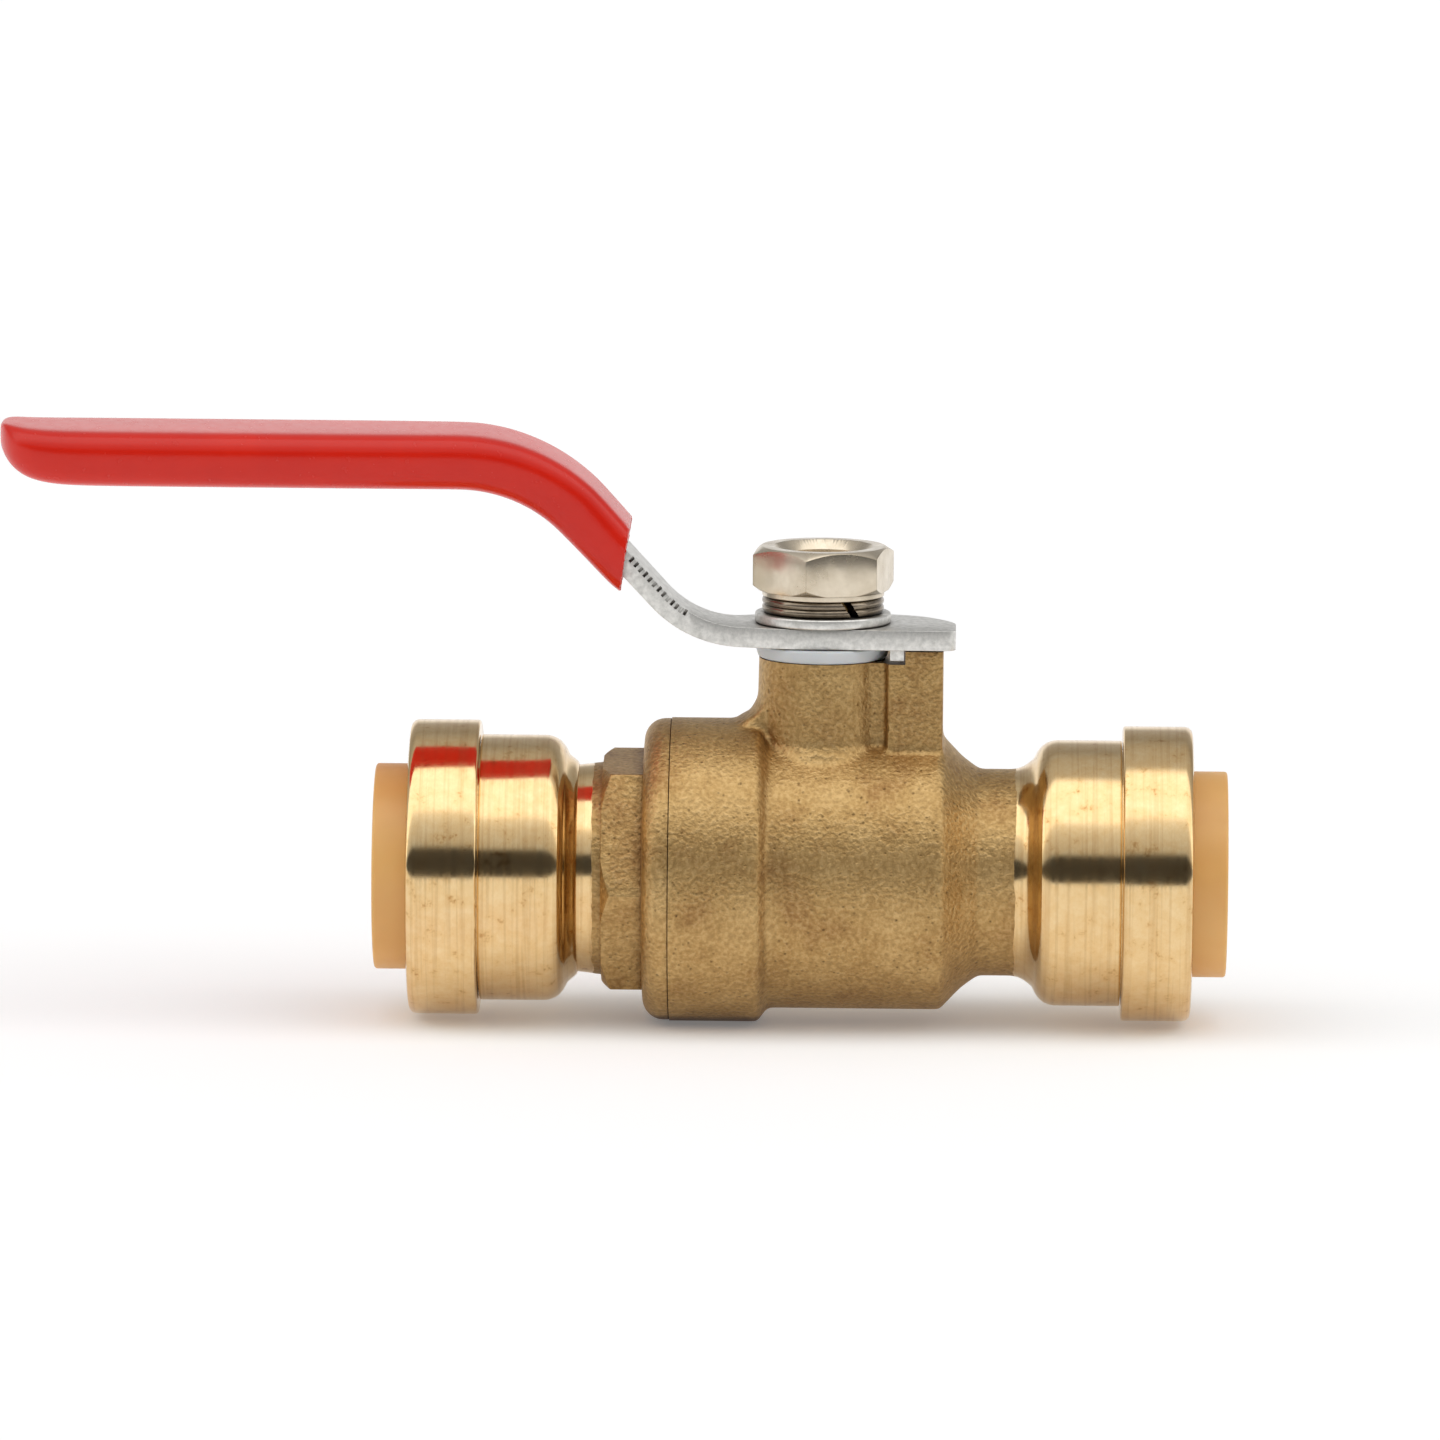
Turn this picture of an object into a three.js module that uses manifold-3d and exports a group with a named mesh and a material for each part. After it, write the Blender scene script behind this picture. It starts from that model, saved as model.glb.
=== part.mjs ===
// Push-to-connect brass ball valve for 1/2 in copper-size tube, quarter-turn lever.
// Units are millimetres. X is the pipe axis, +Z the stem axis, and they cross at the origin.
// The valve is shown open: the lever lies along the pipe and points to -X.
import * as THREE from 'three';
import { mergeVertices } from 'three/addons/utils/BufferGeometryUtils.js';
import Module from 'manifold-3d';

const wasm = await Module();
wasm.setup();

// ---- driving dimensions ----

const ROUND = 32; // sides of the large round pieces
const SMALL_ROUND = 24; // sides of the pieces around the stem and of the rings inside
const GAP = 0.1; // assembly clearance between pieces that touch
const PAST = 1; // how far a cutting tool runs past the face it cuts

const SOCKET_R = 8.1; // bore that takes a tube of 15.875 diameter
const WATERWAY_R = 6.35; // full-port bore
const SOCKET_DEPTH = 24.6; // from the release collar's end to the tube stop

const BODY_RING_X = 30.1; // where the retainer ring starts, on the body's end
const CAP_RING_X = 34.1; // the same on the end cap's end, measured towards -X
const RING_LENGTH = 7;
const RING_R = 14.75;
const FITTING_R = 13.3; // socket's outside
const NECK_R = 10.35;
const SPIGOT_R = 12.4;
const SPIGOT_LENGTH = 1.4;
const CARTRIDGE_R = 11.4; // counterbore under the spigot
const CARTRIDGE_DEPTH = 1.9; // from the ring's inner face back into the socket
const ORING_BORE_R = 10.5;
const ORING_BORE_LENGTH = 3;
const MOUTH_R = 10.45; // ring's hole around the collar
const LIP = 1.8; // ring's wall at the mouth
const COLLAR_R = 10.3;
const COLLAR_PROUD = 3.5; // collar standing out of the ring

const CHAMBER_R = 13.8; // outside of the body over the ball
const CAP_BOSS_R = 15.2; // outside of the body where the end cap screws in
const FLANGE_R = 15.1;
const SEAM_X = -15; // end cap against body
const FLANGE_X = -17.7;
const HEX_X = -21.8;
const HEX_CORNER_R = 12.7;
const HEX_TURN = THREE.MathUtils.degToRad(34);
const CAP_THREAD_R = 12.3;
const CAP_NOSE_X = -6.2;
const BALL_CHAMBER_R = 11.2;

const BALL_R = 10.3;
const SEAT_R = 10.6;
const SEAT_BACK_X = 10.2;
const SEAT_FRONT_X = 6.3;
const SEAT_CLEARANCE = 0.15;
const SEAT_SEAL_R = 6.6;

const STEM_R = 3.9;
const STEM_FLAT = 3; // half the width across the stem's flats
const STEM_PLAY = 0.15; // around the stem in its hole
const WASHER_PLAY = 0.2; // around the stem in a washer
const BOSS_R = 6.3;
const BOSS_TOP = 21.6;
const SLOT_BOTTOM = 7.7;
const TANG_BOTTOM = 7.95;
const TANG_THICK = 2.9;
const TANG_WIDE = 8;
const SLOT_WIDE = 3.2;
const STEM_COLLAR_R = 5.4;
const STEM_COLLAR_BOTTOM = 10.5;
const STEM_COLLAR_TOP = 12.3;
const STEM_SHOULDER = 13.1; // underside of the boss's inner shoulder
const STEM_TOP = 31.4;
const STEM_GROOVES = [14.2, 17.4]; // bottom of each O-ring groove
const STEM_GROOVE_WIDE = 1.4;
const STEM_GROOVE_R = 2.8;

const LEVER_BOTTOM = 23.1;
const LEVER_THICK = 2;
const LEVER_HUB = 12; // width over the stem
const LEVER_NECK = 7.6;
const LEVER_BEND_R = 11;
const LEVER_SLOPE = THREE.MathUtils.degToRad(47);
const LEVER_BEND_X = -8.2; // where the plate starts to bend up
const LEVER_LEVEL_Z = 41.3; // middle of the plate under the grip
const LEVER_TIP_X = -79.5;
const GRIP_TIP_X = -82.2;
const GRIP_HIGH = 5.7;
const GRIP_WIDE = 16;
const GRIP_BEND_R = 17;

// ---- solids ----

// A closed three.js geometry as a manifold solid. A shell that came out inside out is turned round.
function solid(geometry) {
  const bare = geometry.clone();
  bare.deleteAttribute('normal');
  bare.deleteAttribute('uv');
  const merged = mergeVertices(bare, 1e-4);
  const corners = Array.from(merged.index.array);
  const place = (index) => new THREE.Vector3().fromBufferAttribute(merged.attributes.position, index);
  const triangles = [];
  let volume = 0;
  for (let i = 0; i < corners.length; i += 3) {
    const [a, b, c] = corners.slice(i, i + 3);
    if (a !== b && b !== c && c !== a) {
      triangles.push([a, b, c]);
      volume += place(a).dot(place(b).cross(place(c)));
    }
  }
  const facing = volume > 0 ? triangles : triangles.map(([a, b, c]) => [a, c, b]);
  return new wasm.Manifold(new wasm.Mesh({
    numProp: 3,
    vertProperties: new Float32Array(merged.attributes.position.array),
    triVerts: new Uint32Array(facing.flat()),
  }));
}

// A manifold solid as a three.js geometry.
function geometryOf(manifold) {
  const mesh = manifold.getMesh();
  const geometry = new THREE.BufferGeometry();
  geometry.setAttribute('position', new THREE.BufferAttribute(new Float32Array(mesh.vertProperties), 3));
  geometry.setIndex(new THREE.BufferAttribute(new Uint32Array(mesh.triVerts), 1));
  return geometry;
}

// A profile of [height, radius] points turned about Z. One that isn't on the axis closes on itself.
function turnedZ(profile, sides = SMALL_ROUND) {
  const points = profile.map(([height, radius]) => new THREE.Vector2(radius, height));
  const onAxis = points[0].x === 0 && points[points.length - 1].x === 0;
  if (!onAxis) points.push(points[0].clone());
  return new THREE.LatheGeometry(points, sides).rotateX(Math.PI / 2);
}

// The same, turned about the pipe axis X.
function turnedX(profile, sides = ROUND) {
  return turnedZ(profile, sides).rotateY(Math.PI / 2);
}

// A block between two corners.
function block(low, high) {
  const size = high.map((value, i) => value - low[i]);
  const middle = high.map((value, i) => (value + low[i]) / 2);
  return new THREE.BoxGeometry(...size).translate(...middle);
}

// An outline of [x, y] points raised from one height to another.
function raised(outline, bottom, top) {
  const shape = new THREE.Shape(outline.map(([x, y]) => new THREE.Vector2(x, y)));
  return new THREE.ExtrudeGeometry(shape, { depth: top - bottom, bevelEnabled: false, curveSegments: 1 })
    .translate(0, 0, bottom);
}

// A side outline of [x, z] points, as wide as given across Y.
function sideCut(outline, width) {
  return raised(outline, -width / 2, width / 2).rotateX(Math.PI / 2);
}

// Points on an arc about a centre, angles in degrees.
function arc([cx, cy], radius, from, to, steps) {
  return Array.from({ length: steps + 1 }, (_, i) => {
    const angle = THREE.MathUtils.degToRad(from + (to - from) * i / steps);
    return [cx + radius * Math.cos(angle), cy + radius * Math.sin(angle)];
  });
}

function polygon(sides, radius, turn) {
  return Array.from({ length: sides }, (_, i) => {
    const angle = turn + i * 2 * Math.PI / sides;
    return [radius * Math.cos(angle), radius * Math.sin(angle)];
  });
}

const mirrored = (profile) => profile.map(([x, r]) => [-x, r]);

// ---- the inside of a push-fit socket ----

// Everything bored out of the body or the end cap, from the waterway to the socket's mouth.
function socketBore(ringX) {
  const stop = ringX + RING_LENGTH + COLLAR_PROUD - SOCKET_DEPTH;
  const counterbore = ringX - CARTRIDGE_DEPTH;
  const mouth = ringX + SPIGOT_LENGTH + PAST;
  return [
    [0, 0],
    [0, WATERWAY_R],
    [stop, WATERWAY_R],
    [stop, SOCKET_R],
    [counterbore - ORING_BORE_LENGTH, SOCKET_R],
    [counterbore - ORING_BORE_LENGTH, ORING_BORE_R],
    [counterbore, ORING_BORE_R],
    [counterbore, CARTRIDGE_R],
    [mouth, CARTRIDGE_R],
    [mouth, 0],
  ];
}

// The outside of a socket, from a neck to the spigot under the retainer ring.
function socketOutside(neckX, ringX) {
  return [
    [neckX, NECK_R],
    [neckX + 0.7, NECK_R + 0.7],
    [neckX + 1.5, FITTING_R - 0.6],
    [neckX + 2.2, FITTING_R],
    [ringX - GAP, FITTING_R],
    [ringX - GAP, SPIGOT_R],
    [ringX + SPIGOT_LENGTH, SPIGOT_R],
  ];
}

// ---- body ----

const CHAMBER_END_X = 12;
const STEP_X = -6.3;

function makeBody() {
  const outside = solid(turnedX([
    [SEAM_X, 0],
    [SEAM_X, CAP_BOSS_R],
    [STEP_X, CAP_BOSS_R],
    [STEP_X + 0.5, CAP_BOSS_R - 0.4],
    [STEP_X + 1.3, CHAMBER_R],
    [CHAMBER_END_X - 0.6, CHAMBER_R],
    [CHAMBER_END_X, CHAMBER_R - 0.5],
    [14.1, 11.6],
    [15.8, NECK_R],
    ...socketOutside(19.9, BODY_RING_X),
    [BODY_RING_X + SPIGOT_LENGTH, 0],
  ]));
  const boss = solid(turnedZ([[0, 0], [BOSS_TOP, 0], [BOSS_TOP, BOSS_R], [13.6, BOSS_R + 0.2],
    [12.2, BOSS_R + 0.9], [0, BOSS_R + 0.9]]));
  const bore = solid(turnedX([
    [SEAM_X - PAST, 0],
    [SEAM_X - PAST, CAP_THREAD_R],
    [CAP_NOSE_X + 0.2, CAP_THREAD_R],
    [CAP_NOSE_X + 0.2, BALL_CHAMBER_R],
    [6, BALL_CHAMBER_R],
    [6, SEAT_R + GAP],
    [SEAT_BACK_X + GAP, SEAT_R + GAP],
    [SEAT_BACK_X + GAP, 0],
  ]));
  const stemHole = solid(turnedZ([[0, 0], [BOSS_TOP + PAST, 0], [BOSS_TOP + PAST, STEM_R + STEM_PLAY],
    [STEM_SHOULDER, STEM_R + STEM_PLAY], [STEM_SHOULDER, STEM_COLLAR_R + WASHER_PLAY],
    [0, STEM_COLLAR_R + WASHER_PLAY]]));
  return outside
    .add(boss)
    .add(makeStopLug())
    .subtract(bore)
    .subtract(solid(turnedX(socketBore(BODY_RING_X))))
    .subtract(stemHole);
}

// The lever's stop: a lug cast beside the boss, with a low machined ledge and a tall end wall.
const LUG_HALF = 5.4;
const LUG_WEB = 4.2; // half the width where it joins the boss
const LUG_START_X = 6.5;
const LUG_LEDGE_X = 8.3;
const LUG_END_X = 12.1;
const LUG_TOP = 22.9;
const ABOVE_LEVER = 60; // a height over everything

function makeStopLug() {
  const side = [[0, 9], [13.4, 9], [LUG_END_X, 14], [LUG_END_X, LUG_TOP], [LUG_LEDGE_X, LUG_TOP],
    [LUG_LEDGE_X, BOSS_TOP], [0, BOSS_TOP]];
  const half = [[0, LUG_WEB], [LUG_START_X, LUG_WEB], [LUG_START_X, LUG_HALF], [LUG_END_X, LUG_HALF],
    [LUG_END_X + 2, LUG_HALF - 1]];
  const plan = [...half, ...half.map(([x, y]) => [x, -y]).reverse()];
  return solid(sideCut(side, 4 * LUG_HALF)).intersect(solid(raised(plan, 0, ABOVE_LEVER)));
}

// ---- end cap ----

const CAP_GROOVE = [-14.4, -12.6];
const CAP_GROOVE_R = 10.7;

function makeEndCap() {
  const fitting = socketOutside(24.5, CAP_RING_X);
  const outside = solid(turnedX([
    [CAP_NOSE_X, 0],
    [CAP_NOSE_X, CAP_THREAD_R - 0.7],
    [CAP_NOSE_X - 0.6, CAP_THREAD_R - GAP],
    [CAP_GROOVE[1], CAP_THREAD_R - GAP],
    [CAP_GROOVE[1], CAP_GROOVE_R],
    [CAP_GROOVE[0], CAP_GROOVE_R],
    [CAP_GROOVE[0], CAP_THREAD_R - GAP],
    [SEAM_X - GAP, CAP_THREAD_R - GAP],
    [SEAM_X - GAP, FLANGE_R],
    [FLANGE_X + 1.8, FLANGE_R],
    [FLANGE_X + 0.6, FLANGE_R - 0.6],
    [FLANGE_X, FLANGE_R - 2],
    [FLANGE_X, NECK_R],
    ...mirrored(fitting),
    [-CAP_RING_X - SPIGOT_LENGTH, 0],
  ]));
  const hex = solid(raised(polygon(6, HEX_CORNER_R, HEX_TURN), HEX_X, FLANGE_X + PAST)
    .rotateY(Math.PI / 2));
  const hexChamfer = solid(turnedX([[FLANGE_X + PAST, 0], [FLANGE_X + PAST, HEX_CORNER_R + 1],
    [HEX_X + 0.9, HEX_CORNER_R + 0.1], [HEX_X, HEX_CORNER_R - 1.3], [HEX_X, 0]]));
  const seatPocket = solid(turnedX([[CAP_NOSE_X + PAST, 0], [CAP_NOSE_X + PAST, SEAT_R + GAP],
    [-SEAT_BACK_X - GAP, SEAT_R + GAP], [-SEAT_BACK_X - GAP, 0]]));
  return outside
    .add(hex.intersect(hexChamfer))
    .subtract(seatPocket)
    .subtract(solid(turnedX(mirrored(socketBore(CAP_RING_X)))));
}

// ---- ball, seats and stem ----

function makeBall() {
  const ball = solid(new THREE.SphereGeometry(BALL_R, 28, 14).rotateX(Math.PI / 2));
  const bore = solid(turnedX([[-BALL_R - PAST, 0], [BALL_R + PAST, 0], [BALL_R + PAST, WATERWAY_R],
    [-BALL_R - PAST, WATERWAY_R]]));
  const slot = solid(block([-SLOT_WIDE / 2, -BALL_R, SLOT_BOTTOM], [SLOT_WIDE / 2, BALL_R, BALL_R + PAST]));
  return ball.subtract(bore).subtract(slot);
}

// The seat's cupped face follows the ball at a small clearance.
function seatProfile() {
  const cup = BALL_R + SEAT_CLEARANCE;
  const cupAt = (x) => Math.sqrt(cup * cup - x * x);
  const inner = Math.sqrt(cup * cup - SEAT_SEAL_R * SEAT_SEAL_R);
  const middle = (inner + SEAT_FRONT_X) / 2;
  return [[inner, SEAT_SEAL_R], [middle, cupAt(middle)], [SEAT_FRONT_X, cupAt(SEAT_FRONT_X)],
    [SEAT_FRONT_X, SEAT_R], [SEAT_BACK_X, SEAT_R], [SEAT_BACK_X, SEAT_SEAL_R]];
}

function makeStem() {
  const grooves = STEM_GROOVES.flatMap((z) => [[z, STEM_R], [z, STEM_GROOVE_R],
    [z + STEM_GROOVE_WIDE, STEM_GROOVE_R], [z + STEM_GROOVE_WIDE, STEM_R]]);
  const turned = solid(turnedZ([
    [TANG_BOTTOM, 0],
    [TANG_BOTTOM, STEM_COLLAR_R],
    [STEM_COLLAR_TOP, STEM_COLLAR_R],
    [STEM_COLLAR_TOP, STEM_R],
    ...grooves,
    [STEM_TOP - 0.8, STEM_R],
    [STEM_TOP, STEM_R - 0.8],
    [STEM_TOP, 0],
  ]));
  const wide = 2 * STEM_COLLAR_R;
  const tang = solid(block([-TANG_THICK / 2, -TANG_WIDE / 2, TANG_BOTTOM - PAST],
    [TANG_THICK / 2, TANG_WIDE / 2, STEM_COLLAR_BOTTOM + PAST]));
  const below = solid(block([-wide, -wide, TANG_BOTTOM - 2 * PAST], [wide, wide, STEM_COLLAR_BOTTOM]));
  const above = LEVER_BOTTOM - 0.2;
  const front = solid(block([-wide, -wide, above], [wide, -STEM_FLAT, STEM_TOP + PAST]));
  const back = solid(block([-wide, STEM_FLAT, above], [wide, wide, STEM_TOP + PAST]));
  return turned.subtract(below.subtract(tang)).subtract(front).subtract(back);
}

// ---- lever and grip ----

// The middle line of the lever's plate from a start x on the flat to the tip, as [x, z] points.
function leverLine(startX, tipX, bends) {
  const z = LEVER_BOTTOM + LEVER_THICK / 2;
  const slope = THREE.MathUtils.radToDeg(LEVER_SLOPE);
  const low = arc([LEVER_BEND_X, z + LEVER_BEND_R], LEVER_BEND_R, -90, -90 - slope, bends);
  const highCentreZ = LEVER_LEVEL_Z - GRIP_BEND_R;
  const lowEnd = low[low.length - 1];
  const highStartZ = highCentreZ + GRIP_BEND_R * Math.cos(LEVER_SLOPE);
  const highStartX = lowEnd[0] - (highStartZ - lowEnd[1]) / Math.tan(LEVER_SLOPE);
  const highCentreX = highStartX - GRIP_BEND_R * Math.sin(LEVER_SLOPE);
  const high = arc([highCentreX, highCentreZ], GRIP_BEND_R, 90 - slope, 90, bends);
  return [[startX, z], ...low, ...high, [tipX, LEVER_LEVEL_Z]];
}

// A line thickened to both sides, as a closed outline.
function thickened(line, thick) {
  const sideways = line.map(([x, z], i) => {
    const [px, pz] = line[Math.max(i - 1, 0)];
    const [nx, nz] = line[Math.min(i + 1, line.length - 1)];
    const length = Math.hypot(nx - px, nz - pz);
    return [-(nz - pz) / length * thick / 2, (nx - px) / length * thick / 2];
  });
  const upper = line.map(([x, z], i) => [x + sideways[i][0], z + sideways[i][1]]);
  const lower = line.map(([x, z], i) => [x - sideways[i][0], z - sideways[i][1]]);
  return [...upper, ...lower.reverse()];
}

const LEVER_FOOT_X = 13.3;
const LEVER_BENDS = 5;
const ACROSS = 40; // wider than the lever and the grip

// The plate seen from above, with the sides under the grip moved out by a margin.
function leverPlan(margin = 0) {
  const hub = LEVER_HUB / 2;
  const neck = LEVER_NECK / 2 + margin;
  const tip = LEVER_TIP_X - margin;
  const backCorner = [[LEVER_FOOT_X, 0], [12.4, 2], [10.4, 4.6], [8.2, 5.9], [6, 6.4]];
  return [
    [tip, -5 - margin],
    [-30, -5.2 - margin],
    [-22, -4.4 - margin],
    [-14, -neck],
    [-9, -neck - 0.4],
    [-5.4, -hub + 0.6],
    [-2.5, -hub],
    [LEVER_FOOT_X - 1.2, -hub],
    [LEVER_FOOT_X, -hub + 1.2],
    ...backCorner,
    [1, 7.2],
    [-2.5, 7.2],
    [-5.4, hub],
    [-9, neck + 0.4],
    [-14, neck],
    [-22, 4.4 + margin],
    [-30, 5.2 + margin],
    [tip, 5 + margin],
  ];
}

// Two tabs pressed down from the plate meet the lug: one when open, one when closed.
const TAB_BOTTOM = 21.95;
const OPEN_TAB = [[6.75, -5.2], [LUG_LEDGE_X - GAP, -5.2], [LUG_LEDGE_X - GAP, -3.2], [6.75, -3.2]];
const CLOSED_TAB = [[-5, 6.75], [-3.2, 6.75], [-3.2, LUG_LEDGE_X - GAP], [-5, LUG_LEDGE_X - GAP]];

function makeLever() {
  const line = leverLine(LEVER_FOOT_X + PAST, LEVER_TIP_X, LEVER_BENDS);
  const plate = solid(sideCut(thickened(line, LEVER_THICK), ACROSS))
    .intersect(solid(raised(leverPlan(), LEVER_BOTTOM - 10, LEVER_LEVEL_Z + 10)));
  const hole = STEM_R + GAP;
  const flat = STEM_FLAT + GAP;
  const through = solid(turnedZ([[LEVER_BOTTOM - PAST, 0], [LEVER_BOTTOM - PAST, hole],
    [LEVER_BOTTOM + LEVER_THICK + PAST, hole], [LEVER_BOTTOM + LEVER_THICK + PAST, 0]]))
    .intersect(solid(block([-hole, -flat, LEVER_BOTTOM - PAST],
      [hole, flat, LEVER_BOTTOM + LEVER_THICK + PAST])));
  const tabs = [OPEN_TAB, CLOSED_TAB].map((outline) => solid(raised(outline, TAB_BOTTOM, LEVER_BOTTOM + 1)));
  return plate.add(tabs[0]).add(tabs[1]).subtract(through);
}

// ---- grip ----

// The sleeve follows the sloped and level stretches of the lever. It narrows towards its mouth, which is cut
// almost upright.
const GRIP_STEPS = 26;
const GRIP_MOUTH_X = -19.6;
const GRIP_MOUTH_LEAN = THREE.MathUtils.degToRad(8);
const GRIP_ROUND = 2.2;
const GRIP_CLEARANCE = 0.15;

function gripSection() {
  const wide = GRIP_WIDE / 2;
  const high = GRIP_HIGH / 2;
  const cornerOf = (x, y, from) => arc([x, y], GRIP_ROUND, from, from + 90, 2);
  const outline = [
    ...cornerOf(wide - GRIP_ROUND, high - GRIP_ROUND, 0),
    ...cornerOf(GRIP_ROUND - wide, high - GRIP_ROUND, 90),
    ...cornerOf(GRIP_ROUND - wide, GRIP_ROUND - high, 180),
    ...cornerOf(wide - GRIP_ROUND, GRIP_ROUND - high, 270),
  ];
  return new THREE.Shape(outline.map(([x, y]) => new THREE.Vector2(x, y)));
}

function makeGrip() {
  const [, ...bentLine] = leverLine(0, GRIP_TIP_X - PAST, LEVER_BENDS);
  const route = bentLine.slice(LEVER_BENDS).map(([x, z]) => new THREE.Vector3(x, 0, z));
  const path = new THREE.CatmullRomCurve3(route);
  const sleeve = solid(new THREE.ExtrudeGeometry(gripSection(),
    { steps: GRIP_STEPS, extrudePath: path, bevelEnabled: false, curveSegments: 1 }));
  const wide = GRIP_WIDE / 2 + PAST;
  const half = [[0, 6], [-24, 6.4], [-34, 7.6], [-48, wide], [GRIP_TIP_X + 6, wide],
    [GRIP_TIP_X + 3.6, 7], [GRIP_TIP_X + 1, 5.2], [GRIP_TIP_X, 2.6]];
  const plan = [...half, ...half.map(([x, y]) => [x, -y]).reverse()];
  const nose = [[0, 0], [0, ABOVE_LEVER], [GRIP_TIP_X + 8, LEVER_LEVEL_Z + 3],
    [GRIP_TIP_X + 2, LEVER_LEVEL_Z + 1.9], [GRIP_TIP_X, LEVER_LEVEL_Z + 0.6],
    [GRIP_TIP_X, LEVER_LEVEL_Z - 0.8],
    [GRIP_TIP_X + 2.5, LEVER_LEVEL_Z - 2.8], [GRIP_TIP_X + 8, 0]];
  const steel = solid(sideCut(thickened(leverLine(0, LEVER_TIP_X - GRIP_CLEARANCE, LEVER_BENDS),
    LEVER_THICK + 2 * GRIP_CLEARANCE), ACROSS))
    .intersect(solid(raised(leverPlan(GRIP_CLEARANCE), 0, ABOVE_LEVER)));
  const mouth = solid(block([0, -ACROSS, -ABOVE_LEVER], [ABOVE_LEVER, ACROSS, ABOVE_LEVER])
    .rotateY(GRIP_MOUTH_LEAN)
    .translate(GRIP_MOUTH_X, 0, LEVER_LEVEL_Z - 8));
  return sleeve
    .intersect(solid(raised(plan, 0, ABOVE_LEVER)))
    .intersect(solid(sideCut(nose, 4 * wide)))
    .subtract(steel)
    .subtract(mouth);
}

// ---- rings and washers ----

function ringZ(bottom, top, inner, outerBottom, outerTop = outerBottom) {
  return solid(turnedZ([[bottom, inner], [bottom, outerBottom], [top, outerTop], [top, inner]]));
}

// A round seal: a circle of the section's radius, turned about X or Z.
function sealX(x, radius, section, sides) {
  return solid(turnedX(arc([x, radius], section, 0, 300, 5), sides));
}

function sealZ(z, radius, section) {
  return solid(turnedZ(arc([z, radius], section, 0, 300, 5)));
}

const FLAT_WASHER = [25.15, 26.15];
const LOCK_WASHER = [26.2, 27.8];
const LOCK_WASHER_R = 6.1;
const LOCK_CUT_LEAN = THREE.MathUtils.degToRad(35);
const LOCK_CUT_WIDE = 1.1;
const LOCK_CUT_TURN = THREE.MathUtils.degToRad(-62);

function makeLockWasher() {
  const [bottom, top] = LOCK_WASHER;
  const cut = solid(block([0, -LOCK_CUT_WIDE / 2, -4], [2 * LOCK_WASHER_R, LOCK_CUT_WIDE / 2, 4])
    .rotateX(LOCK_CUT_LEAN)
    .translate(0, 0, (bottom + top) / 2)
    .rotateZ(LOCK_CUT_TURN));
  return ringZ(bottom, top, STEM_R + WASHER_PLAY + 0.05, LOCK_WASHER_R).subtract(cut);
}

const NUT_SEAT = 27.85;
const NUT_BOTTOM = 28.4; // where the hexagon starts, over a round shoulder
const NUT_TOP = 32.8;
const NUT_SHOULDER_R = 6.1;
const NUT_CORNER_R = 12.7 / Math.sqrt(3);
const NUT_TURN = THREE.MathUtils.degToRad(17);

function makeNut() {
  const hex = solid(raised(polygon(6, NUT_CORNER_R, NUT_TURN), NUT_SEAT, NUT_TOP));
  const chamfered = solid(turnedZ([[NUT_SEAT, 0], [NUT_SEAT, NUT_SHOULDER_R],
    [NUT_BOTTOM, NUT_SHOULDER_R], [NUT_BOTTOM, NUT_SHOULDER_R + 0.5],
    [NUT_BOTTOM + 0.7, NUT_CORNER_R + 0.1], [NUT_TOP - 0.8, NUT_CORNER_R + 0.1],
    [NUT_TOP, NUT_CORNER_R - 1.1], [NUT_TOP, 0]]));
  const hole = solid(turnedZ([[NUT_SEAT - PAST, 0], [NUT_SEAT - PAST, STEM_R + STEM_PLAY],
    [NUT_TOP - 0.8, STEM_R + STEM_PLAY], [NUT_TOP + 0.2, STEM_R + 1.2], [NUT_TOP + 0.2, 0]]));
  return hex.intersect(chamfered).subtract(hole);
}

// ---- the pieces that hold and seal a tube, made for the right-hand socket ----

const RING_CLAMP = 2.1; // from the ring's inner face to the step that clamps the grab ring
const RING_BORE_R = 11.25;
const RING_EDGE = 0.9;

function makeRing(x) {
  const end = x + RING_LENGTH;
  return [[x, SPIGOT_R + GAP], [x, RING_R - 0.3], [x + 0.3, RING_R], [end - RING_EDGE, RING_R],
    [end - 0.3, RING_R - 0.3], [end, RING_R - RING_EDGE], [end, MOUTH_R], [end - LIP, MOUTH_R],
    [end - LIP, RING_BORE_R], [x + RING_CLAMP, RING_BORE_R], [x + RING_CLAMP, SPIGOT_R + GAP]];
}

const COLLAR_NOSE = 2.8; // from the ring's inner face to the collar's nose
const COLLAR_FLANGE = [4.05, 5.15];
const COLLAR_WALL_R = SOCKET_R + 0.05;

function makeCollar(x) {
  const end = x + RING_LENGTH + COLLAR_PROUD;
  return [[x + COLLAR_NOSE, COLLAR_WALL_R], [x + COLLAR_NOSE, 8.7], [x + COLLAR_FLANGE[0], 9.1],
    [x + COLLAR_FLANGE[0], RING_BORE_R - 0.25], [x + COLLAR_FLANGE[1], RING_BORE_R - 0.25],
    [x + COLLAR_FLANGE[1], COLLAR_R], [end - 0.4, COLLAR_R], [end, COLLAR_R - 0.4],
    [end, COLLAR_WALL_R + 0.7], [end - 0.9, COLLAR_WALL_R]];
}

const TEETH = 8;
const SLOT_HALF = 0.8; // half the width between two teeth
const SLOT_REACH = [5, 10.2]; // distances from the axis

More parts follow.
